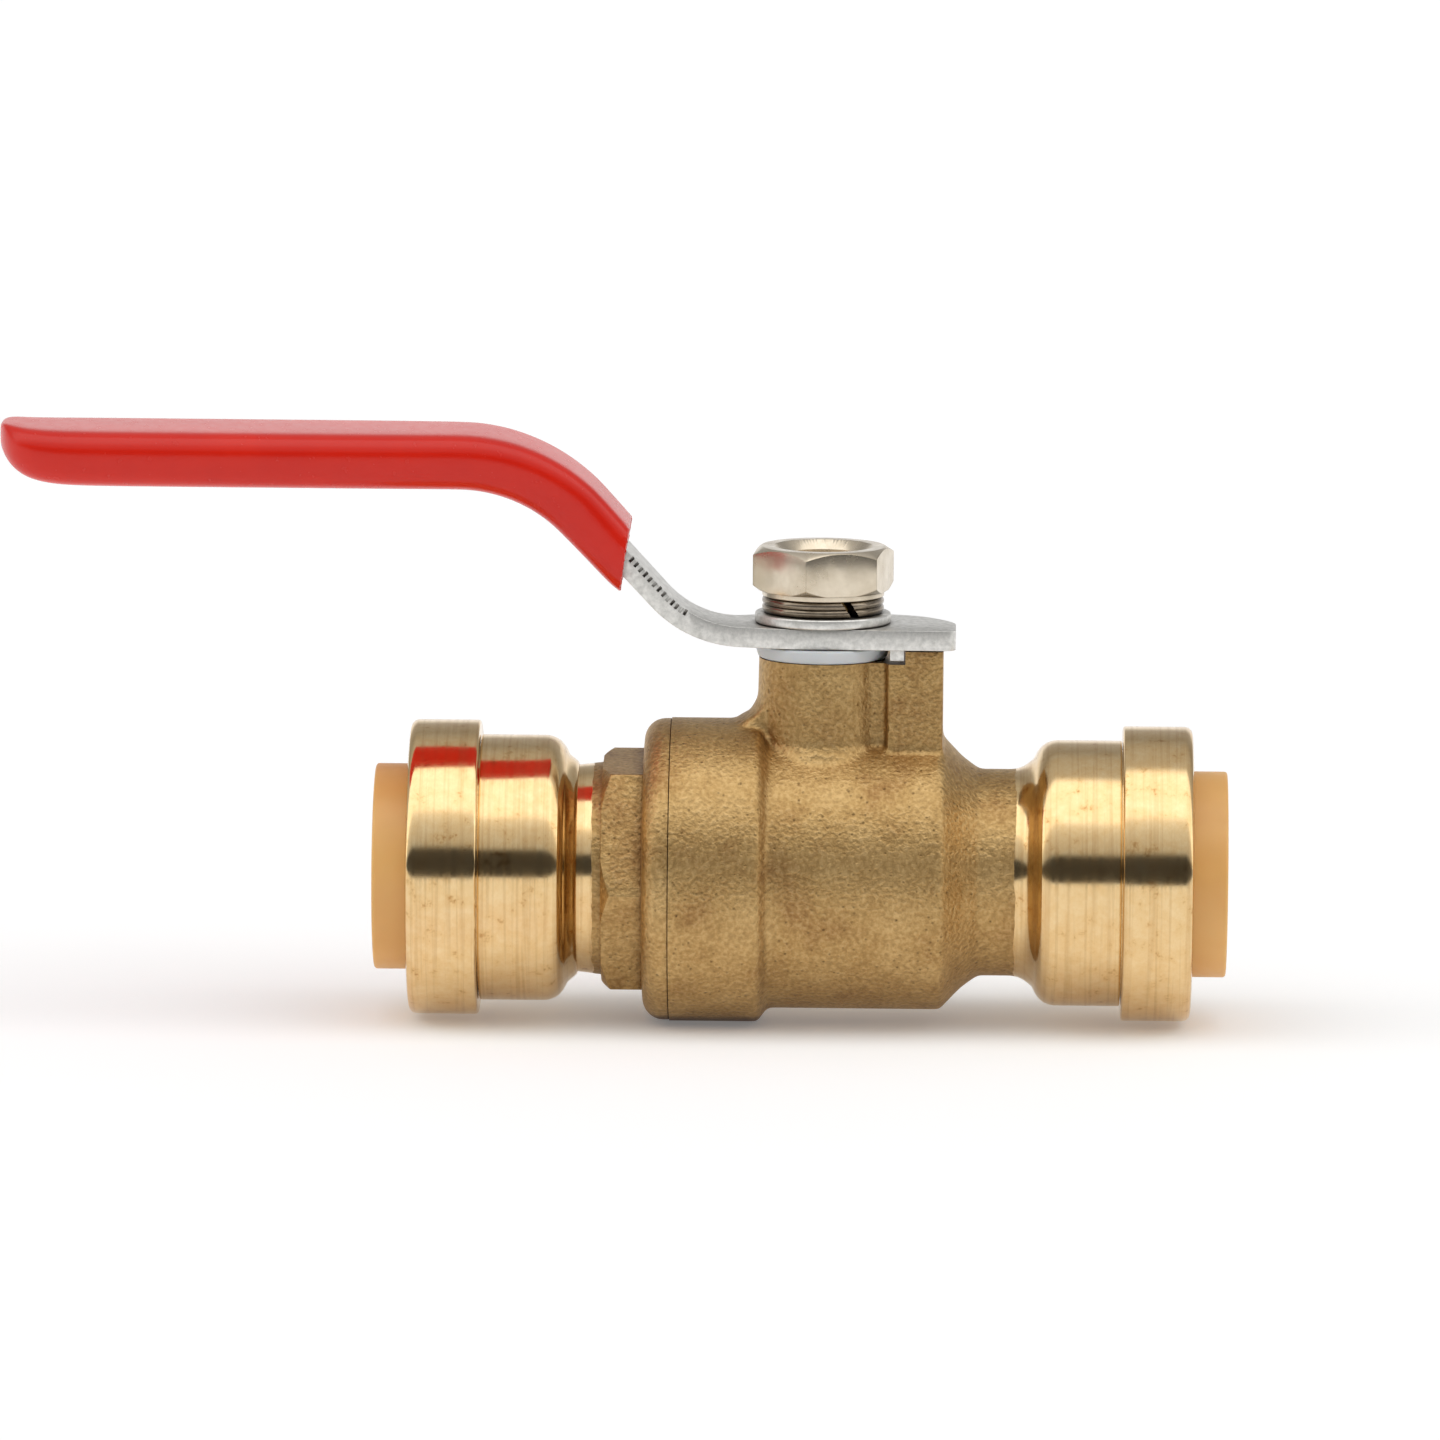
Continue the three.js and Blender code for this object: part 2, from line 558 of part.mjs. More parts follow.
// A stainless ring whose teeth lean in towards the tube stop.
function makeGrabRing(side, x) {
  const ring = solid(turnedX(side([[x + 1.5, SPIGOT_R - GAP], [x + 2, SPIGOT_R - GAP], [x + 2, 10.7],
    [x + 0.05, 7.8], [x - 0.35, 8.05], [x + 1.5, 10.9]]), SMALL_ROUND));
  const end = x + RING_LENGTH;
  const slot = block([-end, -SLOT_HALF, SLOT_REACH[0]], [end, SLOT_HALF, SLOT_REACH[1]]);
  const slots = Array.from({ length: TEETH }, (_, i) => solid(slot.clone()
    .rotateX(2 * Math.PI * (i + 0.5) / TEETH)));
  return slots.reduce((teeth, slot) => teeth.subtract(slot), ring);
}

// The plastic ring between the tube's O-ring and the grab ring, coned so that the teeth can flex.
function makeSpacer(x) {
  return [[x - 1.8, 8.2], [x - 1.1, 8.2], [x + 1.1, 10.4], [x + 1.1, CARTRIDGE_R - GAP],
    [x - 1.8, CARTRIDGE_R - GAP]];
}

const CAP_SEAL = [11.5, 0.72]; // radius to the middle of the O-ring, and its section's radius
const STEM_SEAL = [3.4, 0.55];
const THRUST_WASHER = [12.4, 13];
const LEVER_WASHER_R = [6.4, 6.8]; // at its bottom and its top
const FLAT_WASHER_R = 6.8;
const TUBE_SEAL_R = 9.05;
const TUBE_SEAL_SECTION = 1.3;
const TUBE_SEAL_BACK = 3.4; // from the ring's inner face to the middle of the O-ring

// ---- the valve ----

const FINISH = {
  castBrass: { color: 0xa5864f, roughness: 0.6, metalness: 1 },
  brass: { color: 0xe1be82, roughness: 0.28, metalness: 1 },
  chrome: { color: 0xd8dadb, roughness: 0.12, metalness: 1 },
  steel: { color: 0xc8c6be, roughness: 0.35, metalness: 1 },
  nickel: { color: 0xc8b9a0, roughness: 0.25, metalness: 1 },
  vinyl: { color: 0xc82828, roughness: 0.4, metalness: 0 },
  ptfe: { color: 0xe6e8e8, roughness: 0.5, metalness: 0 },
  rubber: { color: 0x1c1c1c, roughness: 0.7, metalness: 0 },
  acetal: { color: 0xd89a5a, roughness: 0.45, metalness: 0 },
};

const valve = new THREE.Group();

function piece(name, shape, finish) {
  const mesh = new THREE.Mesh(geometryOf(shape), new THREE.MeshStandardMaterial(FINISH[finish]));
  mesh.name = name;
  valve.add(mesh);
}

piece('body', makeBody(), 'castBrass');
piece('end_cap', makeEndCap(), 'castBrass');
piece('cap_oring', sealX((CAP_GROOVE[0] + CAP_GROOVE[1]) / 2, ...CAP_SEAL, ROUND), 'rubber');
piece('seat_left', solid(turnedX(mirrored(seatProfile()))), 'ptfe');
piece('seat_right', solid(turnedX(seatProfile())), 'ptfe');
piece('ball', makeBall(), 'chrome');
piece('stem', makeStem(), 'brass');
piece('stem_thrust_washer', ringZ(...THRUST_WASHER, STEM_R + WASHER_PLAY, STEM_COLLAR_R), 'ptfe');
piece('stem_oring_lower', sealZ(STEM_GROOVES[0] + STEM_GROOVE_WIDE / 2, ...STEM_SEAL), 'rubber');
piece('stem_oring_upper', sealZ(STEM_GROOVES[1] + STEM_GROOVE_WIDE / 2, ...STEM_SEAL), 'rubber');
piece('lever_washer',
  ringZ(BOSS_TOP + GAP / 2, LEVER_BOTTOM - GAP, STEM_R + WASHER_PLAY, ...LEVER_WASHER_R), 'ptfe');
piece('lever', makeLever(), 'steel');
piece('grip', makeGrip(), 'vinyl');
piece('flat_washer', ringZ(...FLAT_WASHER, STEM_R + WASHER_PLAY, FLAT_WASHER_R), 'steel');
piece('lock_washer', makeLockWasher(), 'steel');
piece('handle_nut', makeNut(), 'nickel');

const sockets = [
  { hand: 'left', x: CAP_RING_X, side: mirrored },
  { hand: 'right', x: BODY_RING_X, side: (profile) => profile },
];
sockets.forEach(({ hand, x, side }) => {
  const seal = side([[x - TUBE_SEAL_BACK, 0]])[0][0];
  piece(`retainer_ring_${hand}`, solid(turnedX(side(makeRing(x)))), 'brass');
  piece(`release_collar_${hand}`, solid(turnedX(side(makeCollar(x)))), 'acetal');
  piece(`grab_ring_${hand}`, makeGrabRing(side, x), 'steel');
  piece(`spacer_ring_${hand}`, solid(turnedX(side(makeSpacer(x)), SMALL_ROUND)), 'acetal');
  piece(`tube_oring_${hand}`, sealX(seal, TUBE_SEAL_R, TUBE_SEAL_SECTION, SMALL_ROUND), 'rubber');
});

export default valve;
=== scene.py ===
# %% [markdown]
# # A push-to-connect brass ball valve
#
# The valve shuts off a water pipe with a quarter turn. Tubes push into the sockets at its two ends.
# This lesson dresses a finished engineering model: the model says where each piece is and how it
# moves, and Blender gives each visible piece its true roundness, its small edges and its finish.
# All lengths are in millimetres until they reach Blender, which works in metres.

# %% Load the model
import math
import bpy
from mathutils import Matrix, Vector
from mathutils.geometry import intersect_line_plane


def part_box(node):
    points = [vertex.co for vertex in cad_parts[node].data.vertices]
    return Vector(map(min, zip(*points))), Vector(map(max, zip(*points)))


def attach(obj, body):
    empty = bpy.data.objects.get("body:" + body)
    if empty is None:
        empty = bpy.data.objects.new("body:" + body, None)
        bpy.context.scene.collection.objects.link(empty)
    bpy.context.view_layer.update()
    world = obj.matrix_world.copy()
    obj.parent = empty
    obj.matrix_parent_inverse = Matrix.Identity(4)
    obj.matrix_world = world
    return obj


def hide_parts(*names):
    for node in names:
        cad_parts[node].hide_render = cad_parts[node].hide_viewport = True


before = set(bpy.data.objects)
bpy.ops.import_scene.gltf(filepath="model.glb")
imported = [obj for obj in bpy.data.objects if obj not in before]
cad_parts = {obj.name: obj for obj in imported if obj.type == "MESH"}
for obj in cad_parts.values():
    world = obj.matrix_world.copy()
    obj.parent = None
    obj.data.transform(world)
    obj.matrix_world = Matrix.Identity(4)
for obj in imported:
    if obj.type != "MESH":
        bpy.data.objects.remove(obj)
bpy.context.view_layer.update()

MM = 0.001


def span(node):
    """A node's lowest and highest corners, in millimetres."""
    low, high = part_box(node)
    return Vector(low) / MM, Vector(high) / MM


# %% [markdown]
# ## Selecting by hand, in code
#
# Every edit-mode tool works on what is selected. These helpers clear the selection, take one piece
# in hand and move its place into its mesh, which is what a person does with the mouse and the
# Object menu.

# %% Selection helpers
SAME_POINT = 0.001 * MM  # points closer than this count as one


def object_mode():
    """Leaves edit mode, if it is on."""
    if bpy.context.mode != "OBJECT":
        bpy.ops.object.mode_set(mode="OBJECT")


def take(piece):
    """Makes one object the only selected one, and the active one."""
    object_mode()
    bpy.ops.object.select_all(action="DESELECT")
    piece.select_set(True)
    bpy.context.view_layer.objects.active = piece


def edit(piece, action="SELECT"):
    """Opens a mesh for editing, with everything selected or nothing."""
    take(piece)
    bpy.ops.object.mode_set(mode="EDIT")
    bpy.ops.mesh.select_all(action=action)


def named(name):
    """Names the new primitive and its mesh."""
    piece = bpy.context.object
    piece.name = name
    piece.data.name = name
    return piece


def settle(piece):
    """Moves the object's place, turn and scale into its mesh."""
    take(piece)
    bpy.ops.object.transform_apply(location=True, rotation=True, scale=True)
    return piece


bpy.ops.object.select_all(action="DESELECT")
print("selected at the start:", len(bpy.context.selected_objects))

# %% [markdown]
# ## Working on a whole piece
#
# A modifier works on a whole piece at once. Here each one is applied straight away, so that the
# next step can build on a plain mesh. Solids are joined and cut with the Boolean modifier's exact
# solver, which copes with the long thin faces that a lathe leaves.

# %% Whole-piece helpers
def modify(piece, kind, **settings):
    """Adds a modifier with its settings and applies it at once."""
    take(piece)
    modifier = piece.modifiers.new(kind.lower(), kind)
    for setting, value in settings.items():
        setattr(modifier, setting, value)
    bpy.ops.object.modifier_apply(modifier=modifier.name)


def round_edges(piece, width, segments, angle):
    """Bevels the edges sharper than an angle in degrees, by a width in mm."""
    modify(piece, "BEVEL", width=width * MM, segments=segments, limit_method="ANGLE",
           angle_limit=math.radians(angle))


def combine(piece, tool, operation="DIFFERENCE"):
    """Cuts, joins or keeps the common part of two solids, and throws the tool away."""
    modify(piece, "BOOLEAN", operation=operation, object=tool, solver="EXACT")
    bpy.data.objects.remove(tool)


def soften(piece, angle=30):
    """Shades smooth, keeping edges sharper than the angle."""
    take(piece)
    bpy.ops.object.shade_smooth_by_angle(angle=math.radians(angle))
    return piece


def tidy(piece):
    """Closes seams and turns every face outwards."""
    edit(piece)
    bpy.ops.mesh.remove_doubles(threshold=SAME_POINT / 2)
    bpy.ops.mesh.normals_make_consistent(inside=False)
    object_mode()
    return piece


def count(piece):
    """Prints how many faces a piece has."""
    print(piece.name, "has", len(piece.data.polygons), "faces")


print("engineering nodes to dress:", len(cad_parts))

# %% [markdown]
# ## Drawing an outline
#
# Most of a valve is turned on a lathe, so most of its pieces begin as half an outline. The outline
# is drawn like a pen line: a small plane is merged to a single point, and the point is extruded from
# corner to corner. A corner may carry a radius, which a vertex bevel rounds while the line is still
# flat. That is far easier than rounding the edge of the finished ring.

# %% Pen line
def pen_line(name, corners, place):
    """Draws a line through corners of (a, b) or (a, b, radius); place turns (a, b) into a point."""
    points = [place(corner[0], corner[1]) * MM for corner in corners]
    object_mode()
    bpy.ops.object.select_all(action="DESELECT")
    bpy.ops.mesh.primitive_plane_add(size=MM, location=points[0])
    line = settle(named(name))
    edit(line)
    bpy.ops.mesh.select_mode(type="VERT")
    bpy.ops.mesh.merge(type="CENTER")
    for here, there in zip(points, points[1:]):
        bpy.ops.mesh.extrude_region_move(TRANSFORM_OT_translate={"value": there - here})
    object_mode()
    for radius in sorted({corner[2] for corner in corners if len(corner) > 2}):
        rounded = [point for point, corner in zip(points, corners) if corner[2:] == (radius,)]
        edit(line, "DESELECT")
        object_mode()
        for vertex in line.data.vertices:
            vertex.select = any((vertex.co - point).length < SAME_POINT for point in rounded)
        bpy.ops.object.mode_set(mode="EDIT")
        # a larger radius gets more steps, and the smallest gets three
        steps = max(3, round(4 * radius))
        bpy.ops.mesh.bevel(offset=radius * MM, affect="VERTICES", segments=steps)
        object_mode()
    return line


def close_line(line):
    """Joins the line's last point to its first."""
    edit(line)
    bpy.ops.mesh.remove_doubles(threshold=SAME_POINT)
    object_mode()


print("ready: pen_line and close_line")

# %% [markdown]
# ## Turning on the lathe
#
# Spin is Blender's lathe. The outline is given as (distance along the axis, radius, corner radius).
# A ring's outline ends where it began; a solid's outline starts and ends on the axis itself.

# %% Lathe
STEPS = 144  # round the big turned pieces
FINE = 192  # round the nut's cones, which leave a curve on its flats
FEWER = 96  # round small or hidden pieces
FEWEST = 64  # round a hole that never shows


def turned(name, outline, axis="X", steps=STEPS):
    """Turns an outline of (along, radius) about the X or the Z axis."""
    if axis == "X":
        line = pen_line(name, outline, lambda along, radius: Vector((along, 0, radius)))
    else:
        line = pen_line(name, outline, lambda along, radius: Vector((radius, 0, along)))
    close_line(line)
    edit(line)
    about = (axis == "X", 0, axis == "Z")
    bpy.ops.mesh.spin(steps=steps, angle=math.tau, center=(0, 0, 0), axis=about)
    object_mode()
    return tidy(line)


def mirrored(outline):
    """The same outline towards the other end of the pipe."""
    return [(-corner[0], *corner[1:]) for corner in outline]


print("steps round a turned piece:", STEPS)

# %% [markdown]
# ## Blocks and prisms
#
# A milling cut and a sheet-metal blank are flat shapes. A block is a scaled cube, used only as a
# tool to cut or join with. A prism is a closed pen line, filled and extruded once.

# %% Block and prism
def block(name, low, high):
    """A box between two corners, a tool to cut with."""
    low, high = Vector(low) * MM, Vector(high) * MM
    bpy.ops.object.select_all(action="DESELECT")
    bpy.ops.mesh.primitive_cube_add(size=1, location=(low + high) / 2)
    tool = named(name)
    tool.scale = high - low
    return settle(tool)


def prism(name, outline, low, high, up="Z"):
    """Raises a flat outline into a solid between two heights, up Z or across Y."""
    if up == "Z":
        line = pen_line(name, outline + outline[:1], lambda x, y: Vector((x, y, low)))
        rise = Vector((0, 0, high - low)) * MM
    else:
        line = pen_line(name, outline + outline[:1], lambda x, z: Vector((x, low, z)))
        rise = Vector((0, high - low, 0)) * MM
    close_line(line)
    edit(line)
    bpy.ops.mesh.edge_face_add()
    bpy.ops.mesh.extrude_region_move(TRANSFORM_OT_translate={"value": rise})
    object_mode()
    return tidy(line)


print("ready: block and prism")

# %% [markdown]
# ## Colours and nodes
#
# Colours are written as hex, as a paint chart does, and Blender wants them linear. One helper adds
# a node with its settings and links, so that each finish below reads as a list of its layers.

# %% Colour and node helpers
def linear(hex_colour):
    """An sRGB hex colour as linear red, green, blue and alpha."""
    parts = [int(hex_colour[i:i + 2], 16) / 255 for i in (1, 3, 5)]
    return (*[part / 12.92 if part <= 0.04045 else ((part + 0.055) / 1.055) ** 2.4 for part in parts], 1)


def add(tree, kind, inputs=None, **settings):
    """Adds one node. An input is a number, a colour or another node's output."""
    made = tree.nodes.new("ShaderNode" + kind)
    for setting, value in settings.items():
        setattr(made, setting, value)
    for name, value in (inputs or {}).items():
        if isinstance(value, bpy.types.NodeSocket):
            tree.links.new(value, made.inputs[name])
        else:
            made.inputs[name].default_value = value
    return made


def finish(name):
    """A new material with an empty surface shader, and its place on the object in metres."""
    material = bpy.data.materials.new(name)
    material.use_nodes = True
    tree = material.node_tree
    return material, tree, tree.nodes["Principled BSDF"], add(tree, "TexCoord").outputs["Object"]


def per_mm(size):
    """The texture scale that gives features of a size in millimetres."""
    return 1 / (size * MM)


def ramp(tree, factor, *stops):
    """A colour ramp through (place, hex colour) stops, or (place, grey) stops."""
    made = add(tree, "ValToRGB", {"Fac": factor})
    elements = made.color_ramp.elements
    while len(elements) < len(stops):
        elements.new(0.5)
    for element, (place, colour) in zip(elements, stops):
        element.position = place
        element.color = linear(colour) if isinstance(colour, str) else (colour, colour, colour, 1)
    return made.outputs["Color"]


def noise(tree, place, size, detail, rough=0.5):
    """A noise with features of a size in mm, from 0 to 1."""
    return add(tree, "TexNoise", {"Vector": place, "Scale": per_mm(size), "Detail": detail,
                                  "Roughness": rough}).outputs["Fac"]


def bump(tree, height, strength, depth):
    """The surface normal over a relief of a depth in mm."""
    return add(tree, "Bump", {"Height": height, "Strength": strength,
                              "Distance": depth * MM}).outputs["Normal"]


def coat(tree, surface, colour, rough, normal, metallic=0):
    """Links a finish's colour, roughness and normal to its surface shader."""
    surface.inputs["Metallic"].default_value = metallic
    tree.links.new(colour, surface.inputs["Base Color"])
    tree.links.new(rough, surface.inputs["Roughness"])
    tree.links.new(normal, surface.inputs["Normal"])


def mix(tree, share, a, b, blend="MIX"):
    """Blends two colours by a share, and returns the blend."""
    return add(tree, "Mix", {"Factor": share, "A": a, "B": b}, data_type="RGBA",
               blend_type=blend).outputs["Result"]


print("mid grey, linear:", round(linear("#808080")[0], 3))

# %% [markdown]
# ## Forged brass
#
# The body and the end cap are hot-forged from yellow brass and then blasted with fine grit. The
# grit leaves a matt, sandy skin of dimples about 0.4 mm across, with pits nearly 1 mm apart, over
# broad patches that the forging heat tinted brown. The colour is a painted highlight on the raised
# dimples and painted shade in the pits, over the brass's own speckled tone, and ambient occlusion
# paints shade into the inside corners. One noise gives both the colour and the height, so that the
# painted light and the bump agree.

# %% Forged skin
GRAIN = 0.42  # mm, blasted dimples
PITS = 2.2 * GRAIN  # mm from one pit to the next
HEAT_PATCHES = 6  # mm
CORNER_SHADE_REACH = 1.4  # mm that the painted shade reaches out of an inside corner


def forged_layers(tree, place):
    """Colour and height of the blasted skin, with painted light on its relief and painted shade in its pits
    and corners.
    """
    grain = noise(tree, place, GRAIN, 2)
    pits = add(tree, "TexVoronoi", {"Vector": place, "Scale": per_mm(PITS), "Randomness": 1.0})
    patches = noise(tree, place, HEAT_PATCHES, 4, 0.6)
    # painted highlight and shade: the grain lightens the raised dimples and darkens the low ones, over the
    # sand's own tone
    sand_and_relief_light = ramp(tree, grain, (0.32, "#8b6e43"), (0.5, "#b5945f"), (0.68, "#d5b580"))
    stain = ramp(tree, patches, (0.3, "#946b42"), (0.48, "#b79460"), (0.7, "#cfae78"))
    colour = mix(tree, 0.55, sand_and_relief_light, stain)
    # painted shade in the pits; the same map also sinks them in the height
    pit_depth_and_shade = ramp(tree, pits.outputs["Distance"], (0.04, 0.25), (0.2, 1.0))
    with_pit_shade = mix(tree, 0.6, colour, pit_depth_and_shade, "MULTIPLY")
    # painted shade: ambient occlusion darkens the inside corners to a dark brown
    corner = add(tree, "AmbientOcclusion", {"Distance": CORNER_SHADE_REACH * MM}, samples=6)
    painted_corner_shade = ramp(tree, corner.outputs["AO"], (0.35, "#6e4424"), (0.95, "#ffffff"))
    with_corner_shade = mix(tree, 0.75, with_pit_shade, painted_corner_shade, "MULTIPLY")
    height = add(tree, "Math", {0: pit_depth_and_shade, 1: 0.5, 2: grain}, operation="MULTIPLY_ADD")
    return with_corner_shade, height.outputs["Value"]


print("dimples and pits, mm:", GRAIN, round(PITS, 2))

# %% [markdown]
# ## Turned brass
#
# The sockets and rings are cut bright on a lathe. The tool leaves rings finer than the eye can part,
# bands where it cut a little differently, and hands leave brown smears. A noise stretched round the
# pipe gives the rings: its place is squeezed across the axis, so that it hardly changes on the way
# round.

# %% Turned skin
TURNING = 0.16  # mm, pitch of the lathe's marks
CUT_BANDS = 0.4  # mm
SMEARS = 1.8  # mm
MARK_DEPTH = 0.004  # mm
ROUND_STRETCH = 0.02  # how much of a pattern is left round the pipe


def turned_layers(tree, place):
    """Colour, roughness and height of the lathe-cut skin. Marks run round the pipe axis."""
    stretched = (1, ROUND_STRETCH, ROUND_STRETCH)
    along = add(tree, "Mapping", {"Vector": place, "Scale": stretched}).outputs["Vector"]
    marks = noise(tree, along, TURNING, 2)
    streaks = noise(tree, along, CUT_BANDS, 3)
    smears = noise(tree, place, SMEARS, 5, 0.75)
    tone = ramp(tree, smears, (0.3, "#bf9157"), (0.4, "#e4c18a"), (0.7, "#ecd09f"))
    streaky = ramp(tree, streaks, (0.36, "#c9b193"), (0.5, "#ffffff"))
    colour = mix(tree, 0.25, tone, streaky, "MULTIPLY")
    rough = ramp(tree, streaks, (0.3, 0.17), (0.65, 0.11))
    return colour, rough, marks


def turned_brass(name):
    """Brass bar turned all over: bright, with fine rings and a few brown finger stains."""
    material, tree, surface, place = finish(name)
    colour, rough, marks = turned_layers(tree, place)
    lines = bump(tree, marks, 0.2, MARK_DEPTH)
    coat(tree, surface, colour, rough, lines, metallic=1)
    return material


print("lathe marks, mm:", TURNING)

# %% [markdown]
# ## Where the lathe's cut runs out
#
# The neck is forged near the body and turned near the socket. The tool meets a forging that is not
# quite round, so the edge of the cut wanders. One material holds both skins and changes over where
# the distance along the pipe, plus a slow noise, passes the edge.

# %% Forged and turned
WANDER = 0.5  # mm
WANDER_WAVES = 3.5  # mm
CUT_EDGE = 0.04  # mm, half the width of the change
FORGED_ROUGHNESS = 0.46
DIMPLE_DEPTH = 0.13  # mm


def forged_and_turned(name, edge, side):
    """Forged brass that turns bright past an edge, in mm along X; side is +1 or -1, the bright side."""
    material, tree, surface, place = finish(name)
    skin, skin_height = forged_layers(tree, place)
    bright, bright_rough, marks = turned_layers(tree, place)
    x = add(tree, "SeparateXYZ", {"Vector": place}).outputs["X"]
    wave = noise(tree, place, WANDER_WAVES, 3)
    wavy = add(tree, "Math", {0: wave, 1: 2 * WANDER * MM, 2: x},
               operation="MULTIPLY_ADD").outputs["Value"]
    start = (edge + WANDER) * MM
    cut = add(tree, "MapRange", {"Value": wavy, "From Min": start - side * CUT_EDGE * MM,
                                 "From Max": start + side * CUT_EDGE * MM}).outputs["Result"]
    colour = mix(tree, cut, skin, bright)
    rough = add(tree, "Mix", {"Factor": cut, "A": FORGED_ROUGHNESS, "B": bright_rough}, data_type="FLOAT")
    dimple = bump(tree, skin_height, 0.85, DIMPLE_DEPTH)
    lines = bump(tree, marks, 0.2, MARK_DEPTH)
    normal = add(tree, "Mix", {"Factor": cut, "A": dimple, "B": lines},
                 data_type="VECTOR")
    coat(tree, surface, colour, rough.outputs["Result"], normal.outputs["Result"], metallic=1)
    return material


print("the cut's edge wanders, mm:", WANDER)

# %% [markdown]
# ## Plating
#
# The lever is pressed steel sheet with bright zinc plate, which looks milky grey and slightly
# mottled rather than mirror-like. The nut is nickel plated and warmer, and rubbed brown along its
# edges. The Bevel node finds those edges: where its rounded normal differs from the flat one, the
# plate has worn.

# %% Plated metal
EDGE_WEAR = 0.12  # mm
PLATE_SHADE_REACH = 0.8  # mm


def plated(name, dark, light, roughness, mottle, relief=0.1, edge=None):
    """Plated metal with a mottled grain of a size in mm, painted shade in its corners and rubbed edges."""
    material, tree, surface, place = finish(name)
    spots = noise(tree, place, mottle, 4, 0.65)
    colour = ramp(tree, spots, (0.32, dark), (0.66, light))
    # painted shade: ambient occlusion darkens the inside corners, standing in for the shade there
    corner = add(tree, "AmbientOcclusion", {"Distance": PLATE_SHADE_REACH * MM}, samples=6)
    painted_corner_shade = ramp(tree, corner.outputs["AO"], (0.3, "#5a5046"), (0.85, "#ffffff"))
    colour = mix(tree, 0.8, colour, painted_corner_shade, "MULTIPLY")
    if edge:
        flat = add(tree, "NewGeometry").outputs["Normal"]
        rounded = add(tree, "Bevel", {"Radius": EDGE_WEAR * MM}, samples=6).outputs["Normal"]
        same = add(tree, "VectorMath", {0: flat, 1: rounded}, operation="DOT_PRODUCT").outputs["Value"]
        rubbed = ramp(tree, same, (0.93, 1.0), (0.995, 0.0))
        colour = mix(tree, rubbed, colour, linear(edge))
    rough = ramp(tree, spots, (0.3, roughness * 1.25), (0.7, roughness * 0.8))
    fine = bump(tree, spots, relief, 0.02)
    coat(tree, surface, colour, rough, fine, metallic=1)
    return material


print("wear along plated edges, mm:", EDGE_WEAR)

# %% [markdown]
# ## Plastic and rubber
#
# The grip is a vinyl sleeve that is dipped on: smooth, softly glossy, with a faint orange-peel. The
# release collars are moulded acetal, a waxy plastic that lets a little light into its edges, which
# subsurface scattering gives.

# %% Moulded plastic
CLOUDS = 9  # mm, slow changes of tone
WAX_DEPTH = 1.5  # mm that light goes into a waxy plastic


def moulded(name, dark, light, roughness, grain, relief, waxy=0.0, shine=0.5):
    """Plastic or rubber with a faint moulded grain of a size in mm."""
    material, tree, surface, place = finish(name)
    cloud = noise(tree, place, CLOUDS, 3)
    skin = noise(tree, place, grain, 2)
    colour = ramp(tree, cloud, (0.3, dark), (0.7, light))
    rough = ramp(tree, skin, (0.3, roughness * 1.1), (0.7, roughness * 0.9))
    peel = bump(tree, skin, relief, 0.03)
    coat(tree, surface, colour, rough, peel)
    surface.inputs["Specular IOR Level"].default_value = shine
    surface.inputs["Subsurface Weight"].default_value = waxy
    surface.inputs["Subsurface Radius"].default_value = (1, 0.6, 0.3)
    surface.inputs["Subsurface Scale"].default_value = WAX_DEPTH * MM
    return material


print("light goes into wax, mm:", WAX_DEPTH)

# %% [markdown]
# ## All the finishes
#
# Each real material is made once and named for what it is. The numbers are its dark and light tone,
# its roughness and the size of its grain in millimetres.

# %% Finishes
BODY_CUT_X = 19.4  # mm, where the lathe's cut starts on the body's neck
CAP_CUT_X = -22.7  # and on the end cap's neck
# sandy and matt, so that the bright sockets stand out from it
body_brass = forged_and_turned("forged_brass_body", BODY_CUT_X, 1)
cap_brass = forged_and_turned("forged_brass_end_cap", CAP_CUT_X, -1)
# near-mirror gold, which shows the room as stripes
ring_brass = turned_brass("turned_brass")
# duller brass inside the nut
stem_brass = plated("stem_brass", "#a98a58", "#d6b880", 0.3, 0.6)
# milky grey that tells pressed sheet from machined metal
zinc = plated("bright_zinc_plate", "#cbcac5", "#e8e6e1", 0.38, 0.6, 0.15)
# warm silver with brown rubbed corners
nickel = plated("nickel_plate", "#cdbfa8", "#dfd3bf", 0.24, 3.0, 0.03, edge="#8d7a60")
# darkened to paint the shadow gap under the nut: painted shade over the steel's own dark tone
dark_steel_and_shade = plated("spring_steel_painted_shade", "#75695a", "#978b7a", 0.2, 1.5, 0.03)
# bright teeth deep in the dark socket
stainless = plated("stainless_spring_steel", "#8f8f8e", "#c6c6c4", 0.25, 0.5)
# cold mirror on the ball
chrome = plated("hard_chrome", "#c9cccd", "#e8eaea", 0.06, 3.0, 0.02)
# saturated red with a soft, even shine
vinyl = moulded("red_vinyl", "#d01c0a", "#da220c", 0.25, 0.9, 0.03, shine=0.38)
# warm tan that glows a little at its rim
acetal = moulded("tan_acetal", "#dfa75e", "#e9b76f", 0.42, 0.5, 0.08, waxy=0.2)
# bluish white between the boss and the lever
ptfe = moulded("white_ptfe", "#ced3d6", "#e2e6e8", 0.45, 0.5, 0.05, waxy=0.2)
# near-black ring that ends the view into a socket
nitrile = moulded("nitrile_rubber", "#101010", "#1c1c1c", 0.55, 0.4, 0.15)
print("finishes:", len(bpy.data.materials))

# %% [markdown]
# ## The body forging
#
# The body is one forging: a barrel, a boss for the stem, and a lug that stops the lever. A forging
# has no sharp inside corners, because metal must flow into the die. So the rough shapes are joined,
# remeshed into one skin and smoothed, which melts every corner into a small fillet. Each rough shape
# is a little larger than the finished body, as a real forging is, to leave metal for the shop cuts.

